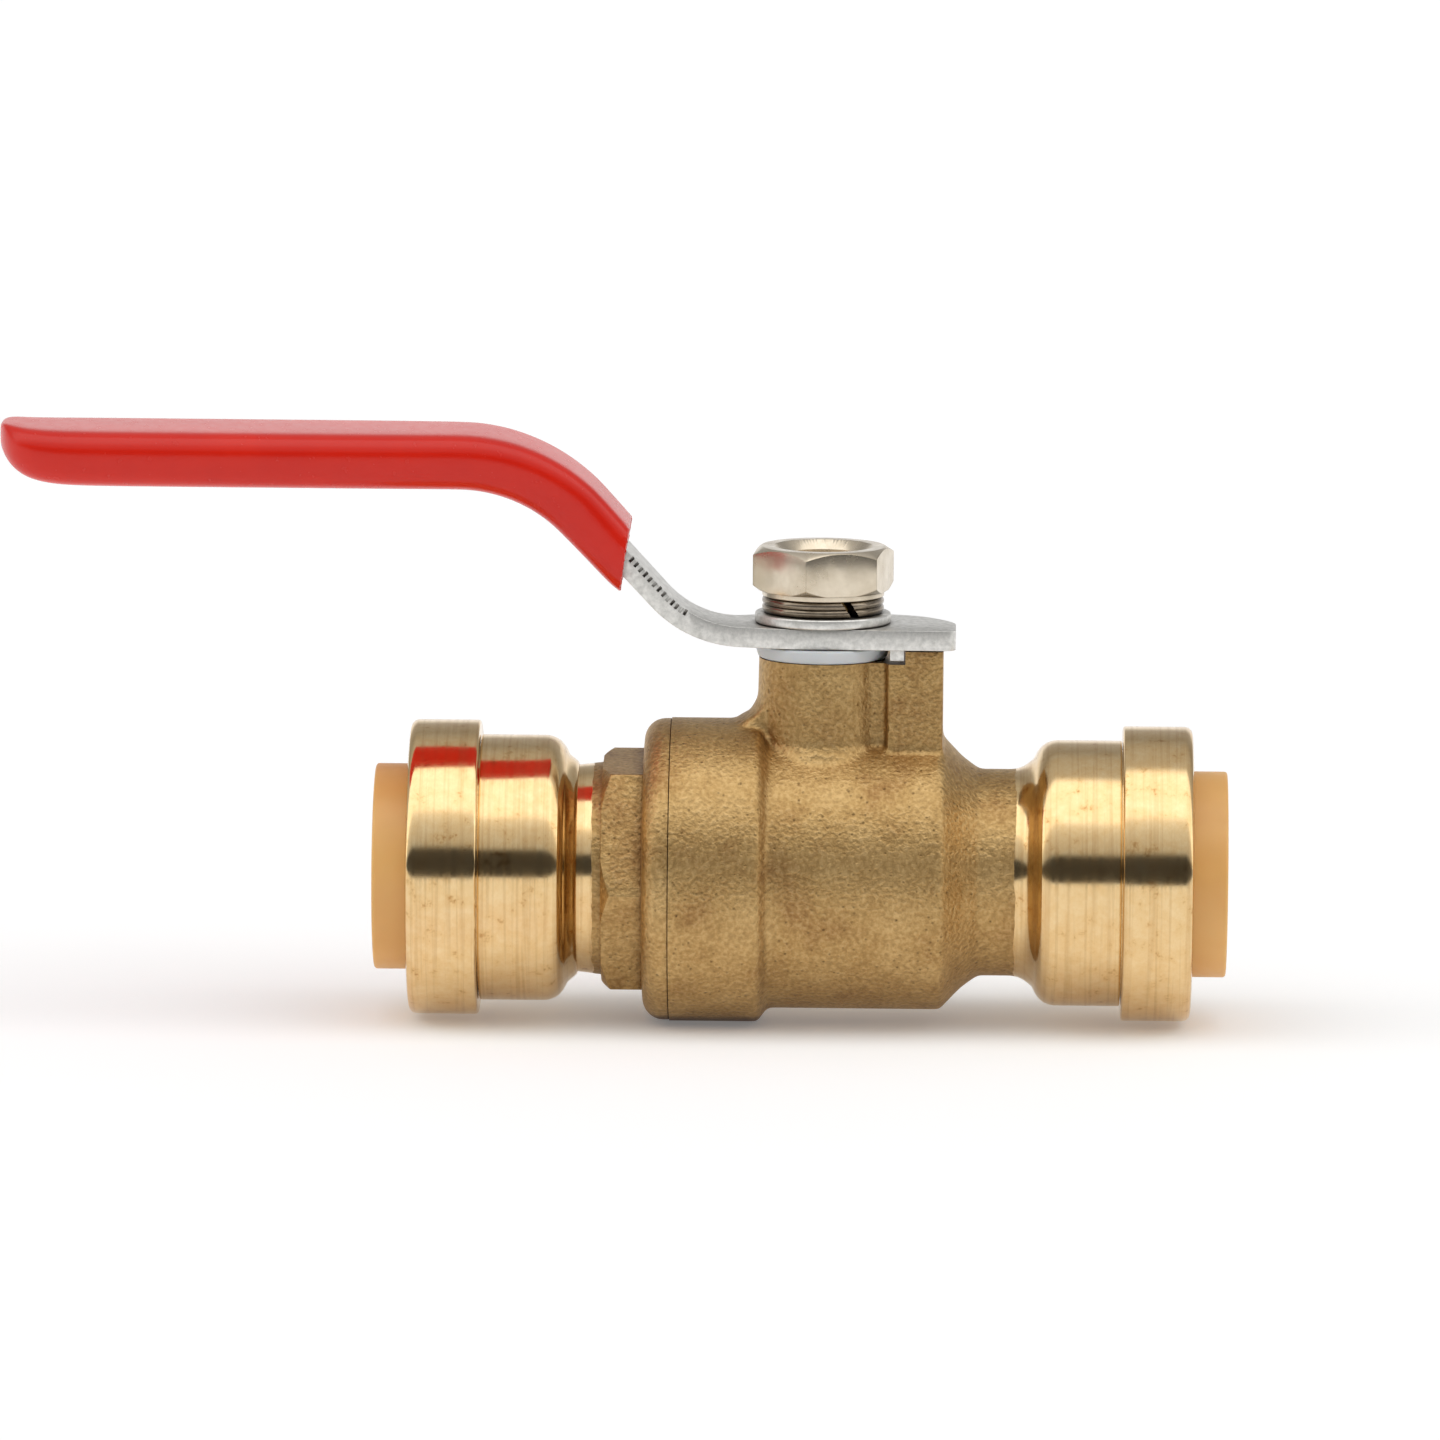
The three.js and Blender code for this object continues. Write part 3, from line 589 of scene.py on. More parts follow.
# %% Body sizes
seam_x = span("body")[0].x
barrel_r = span("body")[1].y
body_top = span("body")[1].z
boss_top = span("lever_washer")[0].z - 0.05
socket_end_x = span("body")[1].x
ring_x = span("retainer_ring_right")[0].x
NECK_R = 10.35
CHAMBER_R = 13.8
STEP_X = -6.3  # where the barrel steps down to the chamber
CHAMBER_END_X = 12
NECK_SPLIT_X = 18.9  # forged up to here, turned beyond
BOSS_R = 6.3
LUG_HALF = 5.4
LUG_WEB = 4.2  # half the width of the web between the boss and the lug
LUG_START_X = 6.5
LUG_END_X = 12.1
LEDGE_X = 8.3  # the boss is milled low up to here, the lug stays high beyond
print("barrel radius and boss height, mm:", round(barrel_r, 2), round(boss_top, 2))

# %% [markdown]
# The barrel and the neck are turned, and so is the boss, which stands on a wider foot. The flare is
# the gusset that runs from the boss to the barrel on the flange's side. It is a turned cone, and
# only a narrow slice of it is kept.

# %% Body forging
SPARE = 3  # mm of forging beyond each machined face
VOXEL = 0.3  # mm
forging = turned("body_forging", [
    (seam_x - SPARE, 0), (seam_x - SPARE, barrel_r), (STEP_X + 0.1, barrel_r), (STEP_X + 1.1, CHAMBER_R),
    (CHAMBER_END_X, CHAMBER_R), (14.1, 11.6), (15.8, NECK_R), (NECK_SPLIT_X + SPARE, NECK_R),
    (NECK_SPLIT_X + SPARE, 0)])
boss = turned("boss", [
    (2, 0), (2, BOSS_R + 0.9), (12.2, BOSS_R + 0.9), (13.4, BOSS_R + 0.2), (boss_top + 2, BOSS_R),
    (boss_top + 2, 0)], axis="Z", steps=FEWER)
flare = turned("flare", [
    (12, 0), (12, BOSS_R + 3), (barrel_r + 0.2, BOSS_R + 2.2), (barrel_r + 0.9, BOSS_R + 0.9),
    (barrel_r + 2.2, BOSS_R + 0.2), (barrel_r + 2.2, 0)], axis="Z", steps=FEWER)
combine(flare, block("flare_side", (-12, -3.5, 10), (-5.5, 3.5, 20)), "INTERSECT")
web = block("web", (0, -LUG_WEB, 9), (LUG_START_X + 2, LUG_WEB, body_top + 2))
lug = block("lug", (LUG_START_X, -LUG_HALF, 9), (LUG_END_X, LUG_HALF, body_top + 2))
for part in (boss, flare, web, lug):
    combine(forging, part, "UNION")
modify(forging, "REMESH", mode="VOXEL", voxel_size=VOXEL * MM)
modify(forging, "SMOOTH", factor=0.5, iterations=10)
count(forging)

# %% [markdown]
# The machining follows. Each cut is a plain solid, subtracted in turn: two facing cuts, one at the
# seam with the end cap and one where the bright neck begins, the milled top of the boss and lug,
# and the bore with its shoulders. These come after the smoothing, so their edges stay crisp.

# %% Machining the body
PLAY = 1  # mm that a cutting tool runs past what it cuts
WATERWAY_R = 6.35
SOCKET_R = 8.1
SOCKET_DEPTH = 24.6  # mm, from the release collar's end to where the tube stops
CAP_THREAD_R = 12.3
BALL_ROOM_X = 6
BALL_ROOM_R = 11.2
SEAT_BACK_X = 10.3
SEAT_POCKET_R = 10.7
socket_stop_x = span("release_collar_right")[1].x - SOCKET_DEPTH
wide = 2 * barrel_r
cuts = {
    "face_seam": ((seam_x - 9, -wide, -wide), (seam_x, wide, wide)),
    "face_neck": ((NECK_SPLIT_X, -wide, -wide), (NECK_SPLIT_X + 9, wide, wide)),
    "mill_lug": ((LEDGE_X - 9, -wide, body_top), (wide, wide, body_top + 9)),
    "mill_boss": ((-wide, -wide, boss_top), (LEDGE_X, wide, boss_top + 9))}
for name, (low, high) in cuts.items():
    combine(forging, block(name, low, high))
combine(forging, turned("bore", [
    (seam_x - PLAY, 0), (seam_x - PLAY, CAP_THREAD_R), (-BALL_ROOM_X, CAP_THREAD_R),
    (-BALL_ROOM_X, BALL_ROOM_R), (BALL_ROOM_X, BALL_ROOM_R), (BALL_ROOM_X, SEAT_POCKET_R),
    (SEAT_BACK_X, SEAT_POCKET_R), (SEAT_BACK_X, WATERWAY_R), (socket_stop_x, WATERWAY_R),
    (socket_stop_x, SOCKET_R), (NECK_SPLIT_X + PLAY, SOCKET_R), (NECK_SPLIT_X + PLAY, 0)],
    steps=FEWER))
SHOULDER_Z = 13.1  # the stem's collar turns under here
SHOULDER_R = 5.6
stem_hole_r = span("stem_oring_upper")[1].x + 0.1
combine(forging, turned("stem_hole", [
    (0, 0), (0, SHOULDER_R), (SHOULDER_Z, SHOULDER_R), (SHOULDER_Z, stem_hole_r),
    (boss_top + PLAY, stem_hole_r), (boss_top + PLAY, 0)], axis="Z", steps=FEWEST))
soften(forging, 40)
count(forging)

# %% [markdown]
# ## The turned sockets
#
# The body's right end and the whole end cap are lathe work, so they come off Blender's lathe too.
# Their outlines follow the real cut from the neck round the shoulder to the spigot that the
# retainer ring is pressed on, and back down the bore past the seat of the O-ring.

# %% Body socket
FITTING_R = span("body")[1].y - 1.9
SPIGOT_R = 12.4
RIM_BORE_R = 11.4
SEAL_BORE_R = 10.5


def socket_outline(neck_x, ring_x, end_x, stop_x):
    """Outline of a socket from its neck to its mouth and back inside, for the right-hand end."""
    counterbore = ring_x - 1.9
    shoulder = [(ring_x - 10.2, NECK_R, 0.9), (ring_x - 8.9, 11.4), (ring_x - 8.4, 12.4, 0.5),
                (ring_x - 7.4, FITTING_R, 0.8), (ring_x - 0.1, FITTING_R, 0.15)]
    inside = [(counterbore, RIM_BORE_R), (counterbore, SEAL_BORE_R), (counterbore - 3, SEAL_BORE_R),
              (counterbore - 3, SOCKET_R, 0.3), (stop_x, SOCKET_R)]
    return [(neck_x, NECK_R), *shoulder, (ring_x - 0.1, SPIGOT_R), (end_x, SPIGOT_R, 0.2),
            (end_x, RIM_BORE_R, 0.1), *inside]


right_socket = turned("body_socket", [
    *socket_outline(NECK_SPLIT_X, ring_x, socket_end_x, NECK_SPLIT_X), (NECK_SPLIT_X, NECK_R)])
soften(right_socket)
count(right_socket)

# %% [markdown]
# The end cap screws into the body and holds the ball and seats in. Outside it shows a round flange
# against the body and the left-hand socket. Inside it is bored like the body. All of that is one
# outline, with a groove for the O-ring in its nose.

# %% End cap
cap_ring_x = -span("retainer_ring_left")[1].x
cap_end_x = -span("end_cap")[0].x
cap_nose_x = span("end_cap")[1].x
cap_stop_x = -span("release_collar_left")[0].x - SOCKET_DEPTH
FLANGE_R = span("end_cap")[1].y
FLANGE_X = -17.7
HEX_X = -21.8
CAP_NOSE_R = 12.2
SEAM_GAP = 0.04  # mm, the line that shows between the flange and the body
end_cap = turned("end_cap_turned", [
    (cap_nose_x, SEAT_POCKET_R), (cap_nose_x, 11.6), (cap_nose_x - 0.6, CAP_NOSE_R), (-12.6, CAP_NOSE_R),
    (-12.6, 10.7), (-14.4, 10.7), (-14.4, CAP_NOSE_R), (seam_x - SEAM_GAP, CAP_NOSE_R),
    (seam_x - SEAM_GAP, FLANGE_R, 0.1), (FLANGE_X, FLANGE_R, 2.1), (FLANGE_X, 11, 0.3),
    (HEX_X + 0.4, 11, 0.2), (HEX_X, NECK_R + 0.3, 0.2),
    *mirrored(socket_outline(24.4, cap_ring_x, cap_end_x, cap_stop_x)),
    (-cap_stop_x, WATERWAY_R), (-SEAT_BACK_X, WATERWAY_R), (-SEAT_BACK_X, SEAT_POCKET_R),
    (cap_nose_x, SEAT_POCKET_R)])
count(end_cap)

# %% [markdown]
# The wrench hexagon is a six-sided cylinder. Its corners are turned off on the side away from the
# flange, so it is cut down to a cone first, and its forged edges are bevelled before it is joined on.

# %% Wrench hexagon
HEX_CORNER_R = 12.7
HEX_TURN = math.radians(34)
HEX_BORE_R = 9.2


def hexagon(name, corner_r, low, high, turn, axis):
    """A six-sided bar between two heights along X or Z."""
    bpy.ops.object.select_all(action="DESELECT")
    bpy.ops.mesh.primitive_cylinder_add(vertices=6, radius=corner_r * MM, depth=(high - low) * MM)
    bar = named(name)
    # the cylinder's first corner is on +Y, a quarter turn past the angle that turn counts from
    bar.matrix_world = Matrix.Rotation(turn - math.pi / 2, 4, "Z")
    settle(bar)
    if axis == "X":
        bar.matrix_world = Matrix.Rotation(math.pi / 2, 4, "Y")
        settle(bar)
    bar.location = Vector((axis == "X", 0, axis == "Z")) * (low + high) / 2 * MM
    return settle(bar)


cap_hex = hexagon("cap_hex", HEX_CORNER_R, HEX_X, FLANGE_X + 0.5, HEX_TURN, "X")
combine(cap_hex, turned("hex_cone", [
    (FLANGE_X + PLAY, 0), (FLANGE_X + PLAY, HEX_CORNER_R + 1), (HEX_X + 1, HEX_CORNER_R + 0.1),
    (HEX_X - 0.2, HEX_CORNER_R - 1.7), (HEX_X - 0.2, 0)], steps=FEWER), "INTERSECT")
round_edges(cap_hex, 0.45, 3, 35)
combine(cap_hex, turned("hex_bore", [
    (FLANGE_X + 2, 0), (FLANGE_X + 2, HEX_BORE_R), (HEX_X - 2, HEX_BORE_R), (HEX_X - 2, 0)],
    steps=FEWER))
combine(end_cap, cap_hex, "UNION")
soften(end_cap)
count(end_cap)

# %% [markdown]
# ## The push-to-connect cartridges
#
# Each socket holds the same five pieces, from the inside out: an O-ring that seals on the tube, a
# spacer, a stainless grab ring whose teeth bite the tube, the release collar that spreads the teeth
# when it is pressed, and the retainer ring that keeps them all in. They are made once for the right
# end. The left set is a copy turned half round about the stem axis.

# %% Ring, collar and spacer
ring_end = span("retainer_ring_right")[1].x
ring_r = span("retainer_ring_right")[1].y
collar_end = span("release_collar_right")[1].x
collar_nose = span("release_collar_right")[0].x
COLLAR_R = 10.3
COLLAR_BORE_R = 8.15
COLLAR_FLANGE_R = 11
MOUTH_R = 10.45
ring = turned("retainer_ring", [
    (ring_x, 12.5), (ring_x, ring_r, 0.3), (ring_end, ring_r, 0.8), (ring_end, MOUTH_R, 0.25),
    (ring_end - 1.8, MOUTH_R), (ring_end - 1.8, 11.25), (ring_x + 2.1, 11.25), (ring_x + 2.1, 12.5),
    (ring_x, 12.5)])
collar = turned("release_collar", [
    (collar_nose, COLLAR_BORE_R), (collar_nose, 8.7, 0.1), (ring_x + 4.05, 9.1),
    (ring_x + 4.05, COLLAR_FLANGE_R, 0.1), (ring_x + 5.15, COLLAR_FLANGE_R, 0.1),
    (ring_x + 5.15, COLLAR_R), (collar_end, COLLAR_R, 0.3), (collar_end, 8.75, 0.2),
    (collar_end - 0.9, COLLAR_BORE_R), (collar_nose, COLLAR_BORE_R)])
spacer = turned("spacer_ring", [
    (ring_x - 1.8, 8.2), (ring_x - 1.1, 8.2), (ring_x + 1.1, 10.4), (ring_x + 1.1, 11.3),
    (ring_x - 1.8, 11.3), (ring_x - 1.8, 8.2)], steps=FEWER)
count(collar)

# %% [markdown]
# The grab ring is a dished washer of thin spring steel. Its teeth are made by cutting slots in it,
# and the slots are one bar turned round the axis.

# %% Grab ring
TEETH = 8
SLOT_HALF = 0.8
grab = turned("grab_ring", [
    (ring_x + 1.5, 12.3), (ring_x + 2, 12.3), (ring_x + 2, 10.7), (ring_x + 0.05, 7.8),
    (ring_x - 0.35, 8.05), (ring_x + 1.5, 10.9), (ring_x + 1.5, 12.3)], steps=FEWER)
for tooth in range(TEETH):
    slot = block("slot", (ring_x - 3, -SLOT_HALF, 5), (ring_x + 4, SLOT_HALF, 10.2))
    slot.rotation_euler.x = math.tau * (tooth + 0.5) / TEETH
    combine(grab, settle(slot))
count(grab)

# %% [markdown]
# The O-ring's outline is a small circle, worked out by its angle, and turned like everything else.

# %% Tube seal
SEAL_SIDES = 16
SEAL_R = 9.05  # mm, from the axis to the middle of the rubber
RUBBER_R = 1.3
seal_x = (span("tube_oring_right")[0].x + span("tube_oring_right")[1].x) / 2
seal_angles = [side * math.tau / SEAL_SIDES for side in range(SEAL_SIDES + 1)]
circle = [(seal_x + RUBBER_R * math.cos(angle), SEAL_R + RUBBER_R * math.sin(angle)) for angle in seal_angles]
seal = turned("tube_seal", circle, steps=FEWER)
cartridge = {"retainer_ring": (ring, ring_brass), "release_collar": (collar, acetal),
             "grab_ring": (grab, stainless), "spacer_ring": (spacer, acetal), "tube_oring": (seal, nitrile)}
print("cartridge pieces:", list(cartridge))

# %% [markdown]
# ## Placing finished pieces
#
# Every piece gets its finish and rides on the body that moves it, and the engineering node that it
# stands for is hidden.


def done(piece, material, body, node):
    """Gives the piece its finish and its body, and hides the node it stands for."""
    piece.data.materials.clear()
    piece.data.materials.append(material)
    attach(piece, body)
    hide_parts(node)


done(forging, body_brass, "valve_body", "body")
done(right_socket, body_brass, "valve_body", "body")
done(end_cap, cap_brass, "valve_body", "end_cap")

# %% [markdown]
# Each cartridge piece is duplicated with its own mesh. The copy is turned half round and then slid
# along to the left socket. The two release collars ride on bodies of their own, because they move.

# %% Cartridges in place
for kind, (piece, material) in cartridge.items():
    soften(piece)
    take(piece)
    bpy.ops.object.duplicate()
    twin = named(f"{kind}_left_piece")
    twin.matrix_world = Matrix.Rotation(math.pi, 4, "Z")
    settle(twin)
    twin.location.x = (ring_x - cap_ring_x) * MM
    settle(twin)
    piece.name = f"{kind}_right_piece"
    for side, copy in (("right", piece), ("left", twin)):
        body = f"{side}_release_collar" if kind == "release_collar" else "valve_body"
        done(copy, material, body, f"{kind}_{side}")
print("left cartridge lies", round(cap_ring_x + ring_x, 1), "mm from the right one")

# %% [markdown]
# ## Ball and seats
#
# Looking into a socket shows the chrome-plated ball between its two white seats. With the lever
# along the pipe its bore lines up with the waterway; a quarter turn puts its round side there. The
# ball's outline is an arc closed by a straight line, which spins into a ball with its bore already
# in it.

# %% Ball
BALL_R = 10.3
BALL_ARC_STEPS = 24
BALL_SLOT_HALF = 1.6
BALL_SLOT_Z = 7.7
bore_edge = math.degrees(math.asin(WATERWAY_R / BALL_R))
arc_angles = [bore_edge + step * (180 - 2 * bore_edge) / BALL_ARC_STEPS for step in range(BALL_ARC_STEPS + 1)]
arc = [(BALL_R * math.cos(math.radians(angle)), BALL_R * math.sin(math.radians(angle)))
       for angle in arc_angles]
ball = turned("ball_piece", [*arc, arc[0]], steps=FEWER)
combine(ball, block("ball_slot", (-BALL_SLOT_HALF, -BALL_R - 1, BALL_SLOT_Z),
                    (BALL_SLOT_HALF, BALL_R + 1, BALL_R + 1)))
done(soften(ball), chrome, "ball", "ball")
count(ball)

# %% [markdown]
# A seat is a PTFE ring with a cup that follows the ball. The cup's points come from the circle's
# own equation, so that the seat and the ball keep the same small gap everywhere.

# %% Seats
SEAT_GAP = 0.15
SEAT_R = 10.6
SEAT_X = 6.3
SEAT_END_X = 10.2
cup_r = BALL_R + SEAT_GAP
cup = [(x, math.sqrt(cup_r ** 2 - x ** 2)) for x in (8.103, 7.5, 6.9, SEAT_X)]
seat_outline = [*cup, (SEAT_X, SEAT_R), (SEAT_END_X, SEAT_R), (SEAT_END_X, cup[0][1]), cup[0]]
for side, outline in (("right", seat_outline), ("left", mirrored(seat_outline))):
    seat = turned(f"seat_{side}_piece", outline, steps=FEWER)
    done(soften(seat), ptfe, "valve_body", f"seat_{side}")
count(seat)

# %% [markdown]
# ## The stem
#
# The stem is turned with two grooves for its O-rings. Then it is milled: a tang below that fits the
# ball's slot, and two flats above that the lever's hole fits. Every milling cut comes in pairs, one
# on each side.

# %% Stem
STEM_R = 3.9
GROOVE_R = 2.8
STEM_COLLAR_R = 5.4
STEM_COLLAR_Z = 12.3
TANG_TOP = 10.5
STEM_FLATS_Z = 22.9
AROUND = 9  # mm, wider than the stem
stem_top = span("stem")[1].z
tang_bottom = span("stem")[0].z
stem = turned("stem_piece", [
    (tang_bottom, 0), (tang_bottom, STEM_COLLAR_R), (STEM_COLLAR_Z, STEM_COLLAR_R, 0.2),
    (STEM_COLLAR_Z, STEM_R), (14.2, STEM_R), (14.2, GROOVE_R), (15.6, GROOVE_R), (15.6, STEM_R),
    (17.4, STEM_R), (17.4, GROOVE_R), (18.8, GROOVE_R), (18.8, STEM_R), (stem_top, STEM_R, 0.7),
    (stem_top, 0)], axis="Z", steps=FEWER)
for side in (-1, 1):
    near, far = sorted((side * 1.45, side * AROUND))
    combine(stem, block("tang_side", (near, -AROUND, tang_bottom - PLAY), (far, AROUND, TANG_TOP)))
    near, far = sorted((side * 4, side * AROUND))
    combine(stem, block("tang_end", (-AROUND, near, tang_bottom - PLAY), (AROUND, far, TANG_TOP)))
    near, far = sorted((side * 3, side * AROUND))
    combine(stem, block("stem_flat", (-AROUND, near, STEM_FLATS_Z), (AROUND, far, stem_top + PLAY)))
done(soften(stem), stem_brass, "lever_and_stem", "stem")
count(stem)

# %% [markdown]
# ## Washers
#
# Above the boss the stack is: a white washer that the lever slides on, the lever, a plated washer,
# a split spring washer and the nut. The flat washers are rings with their edges rounded. The white
# one is narrower at its foot, where it sits in the boss.

# %% Flat washers
WASHER_HOLE_R = 4.1


def washer(name, bottom, top, outer_bottom, outer_top, edge):
    """A flat ring about the stem."""
    return turned(name, [
        (bottom, WASHER_HOLE_R), (bottom, outer_bottom, edge), (top, outer_top, edge),
        (top, WASHER_HOLE_R), (bottom, WASHER_HOLE_R)], axis="Z", steps=FEWER)


low, high = span("lever_washer")
slide = washer("lever_washer_piece", low.z, high.z, 6.4, high.x, 0.25)
done(soften(slide), ptfe, "valve_body", "lever_washer")
low, high = span("flat_washer")
flat = washer("flat_washer_piece", low.z, high.z, high.x, high.x, 0.2)
done(soften(flat), zinc, "lever_and_stem", "flat_washer")
print("flat washer's width, mm:", round(2 * high.x, 1))

# %% [markdown]
# The spring washer is square wire wound once round. Tightened down, it lies flat and looks like a
# ring with a slanting cut. A fine groove round its edge is where the wire's rounded sides meet.

# %% Spring washer
SPRING_HOLE_R = 4.15
SPLIT_TURN = math.radians(-62)
SPLIT_SLANT = math.radians(35)
low, high = span("lock_washer")
middle = (low.z + high.z) / 2
spring = turned("lock_washer_piece", [
    (low.z, SPRING_HOLE_R), (low.z, high.x - 0.25), (low.z + 0.25, high.x, 0.2),
    (middle - 0.15, high.x, 0.2), (middle, high.x - 0.2), (middle + 0.15, high.x, 0.2),
    (high.z - 0.25, high.x, 0.2), (high.z, high.x - 0.25), (high.z, SPRING_HOLE_R),
    (low.z, SPRING_HOLE_R)], axis="Z", steps=FEWER)
split = block("split", (0, -0.4, -4), (12, 0.4, 4))
split.matrix_world = (Matrix.Translation((0, 0, middle * MM))
                      @ Matrix.Rotation(SPLIT_TURN, 4, "Z") @ Matrix.Rotation(SPLIT_SLANT, 4, "X"))
combine(spring, settle(split))
done(soften(spring), dark_steel_and_shade, "lever_and_stem", "lock_washer")
print("spring washer's height, mm:", round(high.z - low.z, 1))

# %% [markdown]
# ## The nut
#
# The nut's corners are chamfered top and bottom. Where a cone meets a flat side it leaves a curved
# edge, so the hexagon is cut by a turned cone instead of being bevelled. The washer face below is
# part of the same turned shape. Only the last sharpness is taken off with a small bevel.

# %% Nut
ACROSS_FLATS = 12.7
NUT_CORNER_R = ACROSS_FLATS / math.sqrt(3)
NUT_TURN = math.radians(17)
WASHER_FACE_R = 6.1
NUT_BORE_R = 4.05
low, high = span("handle_nut")
nut_bottom = low.z + 0.55
nut = hexagon("handle_nut_piece", NUT_CORNER_R, low.z - PLAY, high.z + PLAY, NUT_TURN, "Z")
combine(nut, turned("nut_cones", [
    (low.z, 0), (low.z, WASHER_FACE_R, 0.1), (nut_bottom, WASHER_FACE_R), (nut_bottom, 6.5),
    (nut_bottom + 0.75, NUT_CORNER_R + 0.15), (high.z - 0.85, NUT_CORNER_R + 0.15),
    (high.z, NUT_CORNER_R - 1.15), (high.z, 0)], axis="Z", steps=FINE), "INTERSECT")
combine(nut, turned("nut_hole", [
    (low.z - PLAY, 0), (low.z - PLAY, NUT_BORE_R), (high.z - 0.9, NUT_BORE_R), (high.z + 0.1, 5.05),
    (high.z + 0.1, 0)], axis="Z", steps=FEWER))
round_edges(nut, 0.14, 2, 25)
done(soften(nut), nickel, "lever_and_stem", "handle_nut")
count(nut)

# %% [markdown]
# ## The lever
#
# The lever is blanked from 2 mm sheet and cranked twice in a press. A flat blank and a bent strip
# are two outlines of the same thing: one seen from above, one from the side. Each is raised into a
# solid, and what the two have in common is the lever. The strip's middle line comes first: a low
# bend, a straight slope, and a high bend, all tangent to each other.

# %% Lever's middle line
LEVER_THICK = 2
SLOPE = 47  # degrees
LOW_BEND_X = -8.2  # where the low bend begins
LOW_BEND_R = 11
HIGH_BEND_R = 17
slope = math.radians(SLOPE)
plate_z = span("flat_washer")[0].z - 0.05 - LEVER_THICK / 2
level_z = span("lever")[1].z - LEVER_THICK / 2
lever_tip_x, lever_foot_x = span("lever")[0].x, span("lever")[1].x


def bend(centre, radius, first, last, steps):
    """Points round a bend, between two angles in degrees."""
    for step in range(steps + 1):
        angle = math.radians(first + (last - first) * step / steps)
        yield centre[0] + radius * math.cos(angle), centre[1] + radius * math.sin(angle)


def lever_line(steps):
    """The two bends of the plate's middle, each from its lower end."""
    low = list(bend((LOW_BEND_X, plate_z + LOW_BEND_R), LOW_BEND_R, -90, -90 - SLOPE, steps))
    high_z = level_z - HIGH_BEND_R
    rise = high_z + HIGH_BEND_R * math.cos(slope) - low[-1][1]
    start_x = low[-1][0] - rise / math.tan(slope)
    centre = (start_x - HIGH_BEND_R * math.sin(slope), high_z)
    return low, list(bend(centre, HIGH_BEND_R, 90 - SLOPE, 90, steps))


print("lever rises", round(level_z - plate_z, 1), "mm")

# %% [markdown]
# The side view is the middle line thickened to both sides. The plan is drawn corner by corner: a
# narrow waist, and a wide foot round the stem with a rounded tail over the lug.

# %% Lever outlines
STRIP_STEPS = 16


def strip(line, thick):
    """A line thickened to both sides, as a closed outline."""
    upper, lower = [], []
    for i, (x, z) in enumerate(line):
        before, after = line[max(i - 1, 0)], line[min(i + 1, len(line) - 1)]
        run, rise = after[0] - before[0], after[1] - before[1]
        scale = thick / 2 / math.hypot(run, rise)
        upper.append((x - rise * scale, z + run * scale))
        lower.append((x + rise * scale, z - run * scale))
    return upper + lower[::-1]


low_bend, high_bend = lever_line(STRIP_STEPS)
side_view = strip([(20, plate_z), *low_bend, *high_bend, (lever_tip_x, level_z)], LEVER_THICK)
plan_front = [(lever_tip_x, -5), (-30, -5.2), (-22, -4.4), (-14, -3.8, 2), (-9, -4.2, 2),
              (-5.4, -5.4, 1.2), (-2.5, -6, 1.2), (lever_foot_x, -6, 1.1)]
plan_back = [(lever_foot_x, 0, 0.8), (12.4, 2, 0.8), (10.4, 4.6, 1), (8.2, 5.9, 1), (6, 6.4, 1),
             (1, 7.2, 2), (-2.5, 7.2, 1), (-5.4, 6, 1), (-9, 4.2, 2), (-14, 3.8, 2), (-22, 4.4),
             (-30, 5.2), (lever_tip_x, 5)]
print("plan corners:", len(plan_front + plan_back))

# %% [markdown]
# Two stop tabs are pressed down from the foot: each meets the lug at one end of the quarter turn.
# They are joined on before the whole plate gets the slightly rounded edge that blanking leaves.

# %% Lever plate
lever = prism("lever_piece", side_view, -AROUND, AROUND, up="Y")
combine(lever, prism("lever_blank", plan_front + plan_back, plate_z - 3, level_z + 3), "INTERSECT")
tab_bottom = span("lever")[0].z
for tab_low, tab_high in (((6.75, -5.2), (8.2, -3.2)), ((-5, 6.75), (-3.2, 8.2))):
    combine(lever, block("tab", (*tab_low, tab_bottom), (*tab_high, plate_z)), "UNION")
round_edges(lever, 0.22, 3, 40)
count(lever)

# %% [markdown]
# The slope carries a row of short notches along its front edge. Each is a small bar laid on the
# plate's top face and turned to its slope, and their lengths step in threes. The hole has two flats
# to fit the stem: it is what a round bar and a block have in common.

# %% Notches and stem hole
NOTCHES = 13
NOTCH_START_X = -19.6
NOTCH_PITCH = 0.46
NOTCH_HALF = 0.15
NOTCH_DEEP = 0.55
FLATS_HALF = 3.1
bend_end_x = LOW_BEND_X - LOW_BEND_R * math.sin(slope)
for number in range(NOTCHES):
    x = NOTCH_START_X + NOTCH_PITCH * number
    angle = math.asin(min((LOW_BEND_X - x) / LOW_BEND_R, math.sin(slope)))
    z = plate_z + LOW_BEND_R * (1 - math.cos(angle))
    beyond = max(bend_end_x - x, 0)
    on_line = Vector((x, 0, z + beyond * math.tan(angle)))
    top = on_line + LEVER_THICK / 2 * Vector((math.sin(angle), 0, math.cos(angle)))
    reach = -3.2 - 0.3 * (number % 3)
    notch = block("notch", (-NOTCH_HALF, -6, -NOTCH_DEEP), (NOTCH_HALF, reach, 0.5))
    notch.matrix_world = Matrix.Translation(top * MM) @ Matrix.Rotation(angle, 4, "Y")
    combine(lever, settle(notch))
hole = turned("lever_hole", [
    (plate_z - 2, 0), (plate_z - 2, 4), (plate_z + 2, 4), (plate_z + 2, 0)], "Z", FEWER)
combine(hole, block("hole_flats", (-5, -FLATS_HALF, plate_z - 3), (5, FLATS_HALF, plate_z + 3)), "INTERSECT")
combine(lever, hole)
done(soften(lever), zinc, "lever_and_stem", "lever")
count(lever)

# %% [markdown]
# ## The vinyl grip
#
# The sleeve is a long soft skin, so it is made like one: one cross-section is extruded from station
# to station along the lever, turned a little at each to follow the bend, and grown over the first
# few millimetres to round the nose. A subdivision surface then rounds it all.

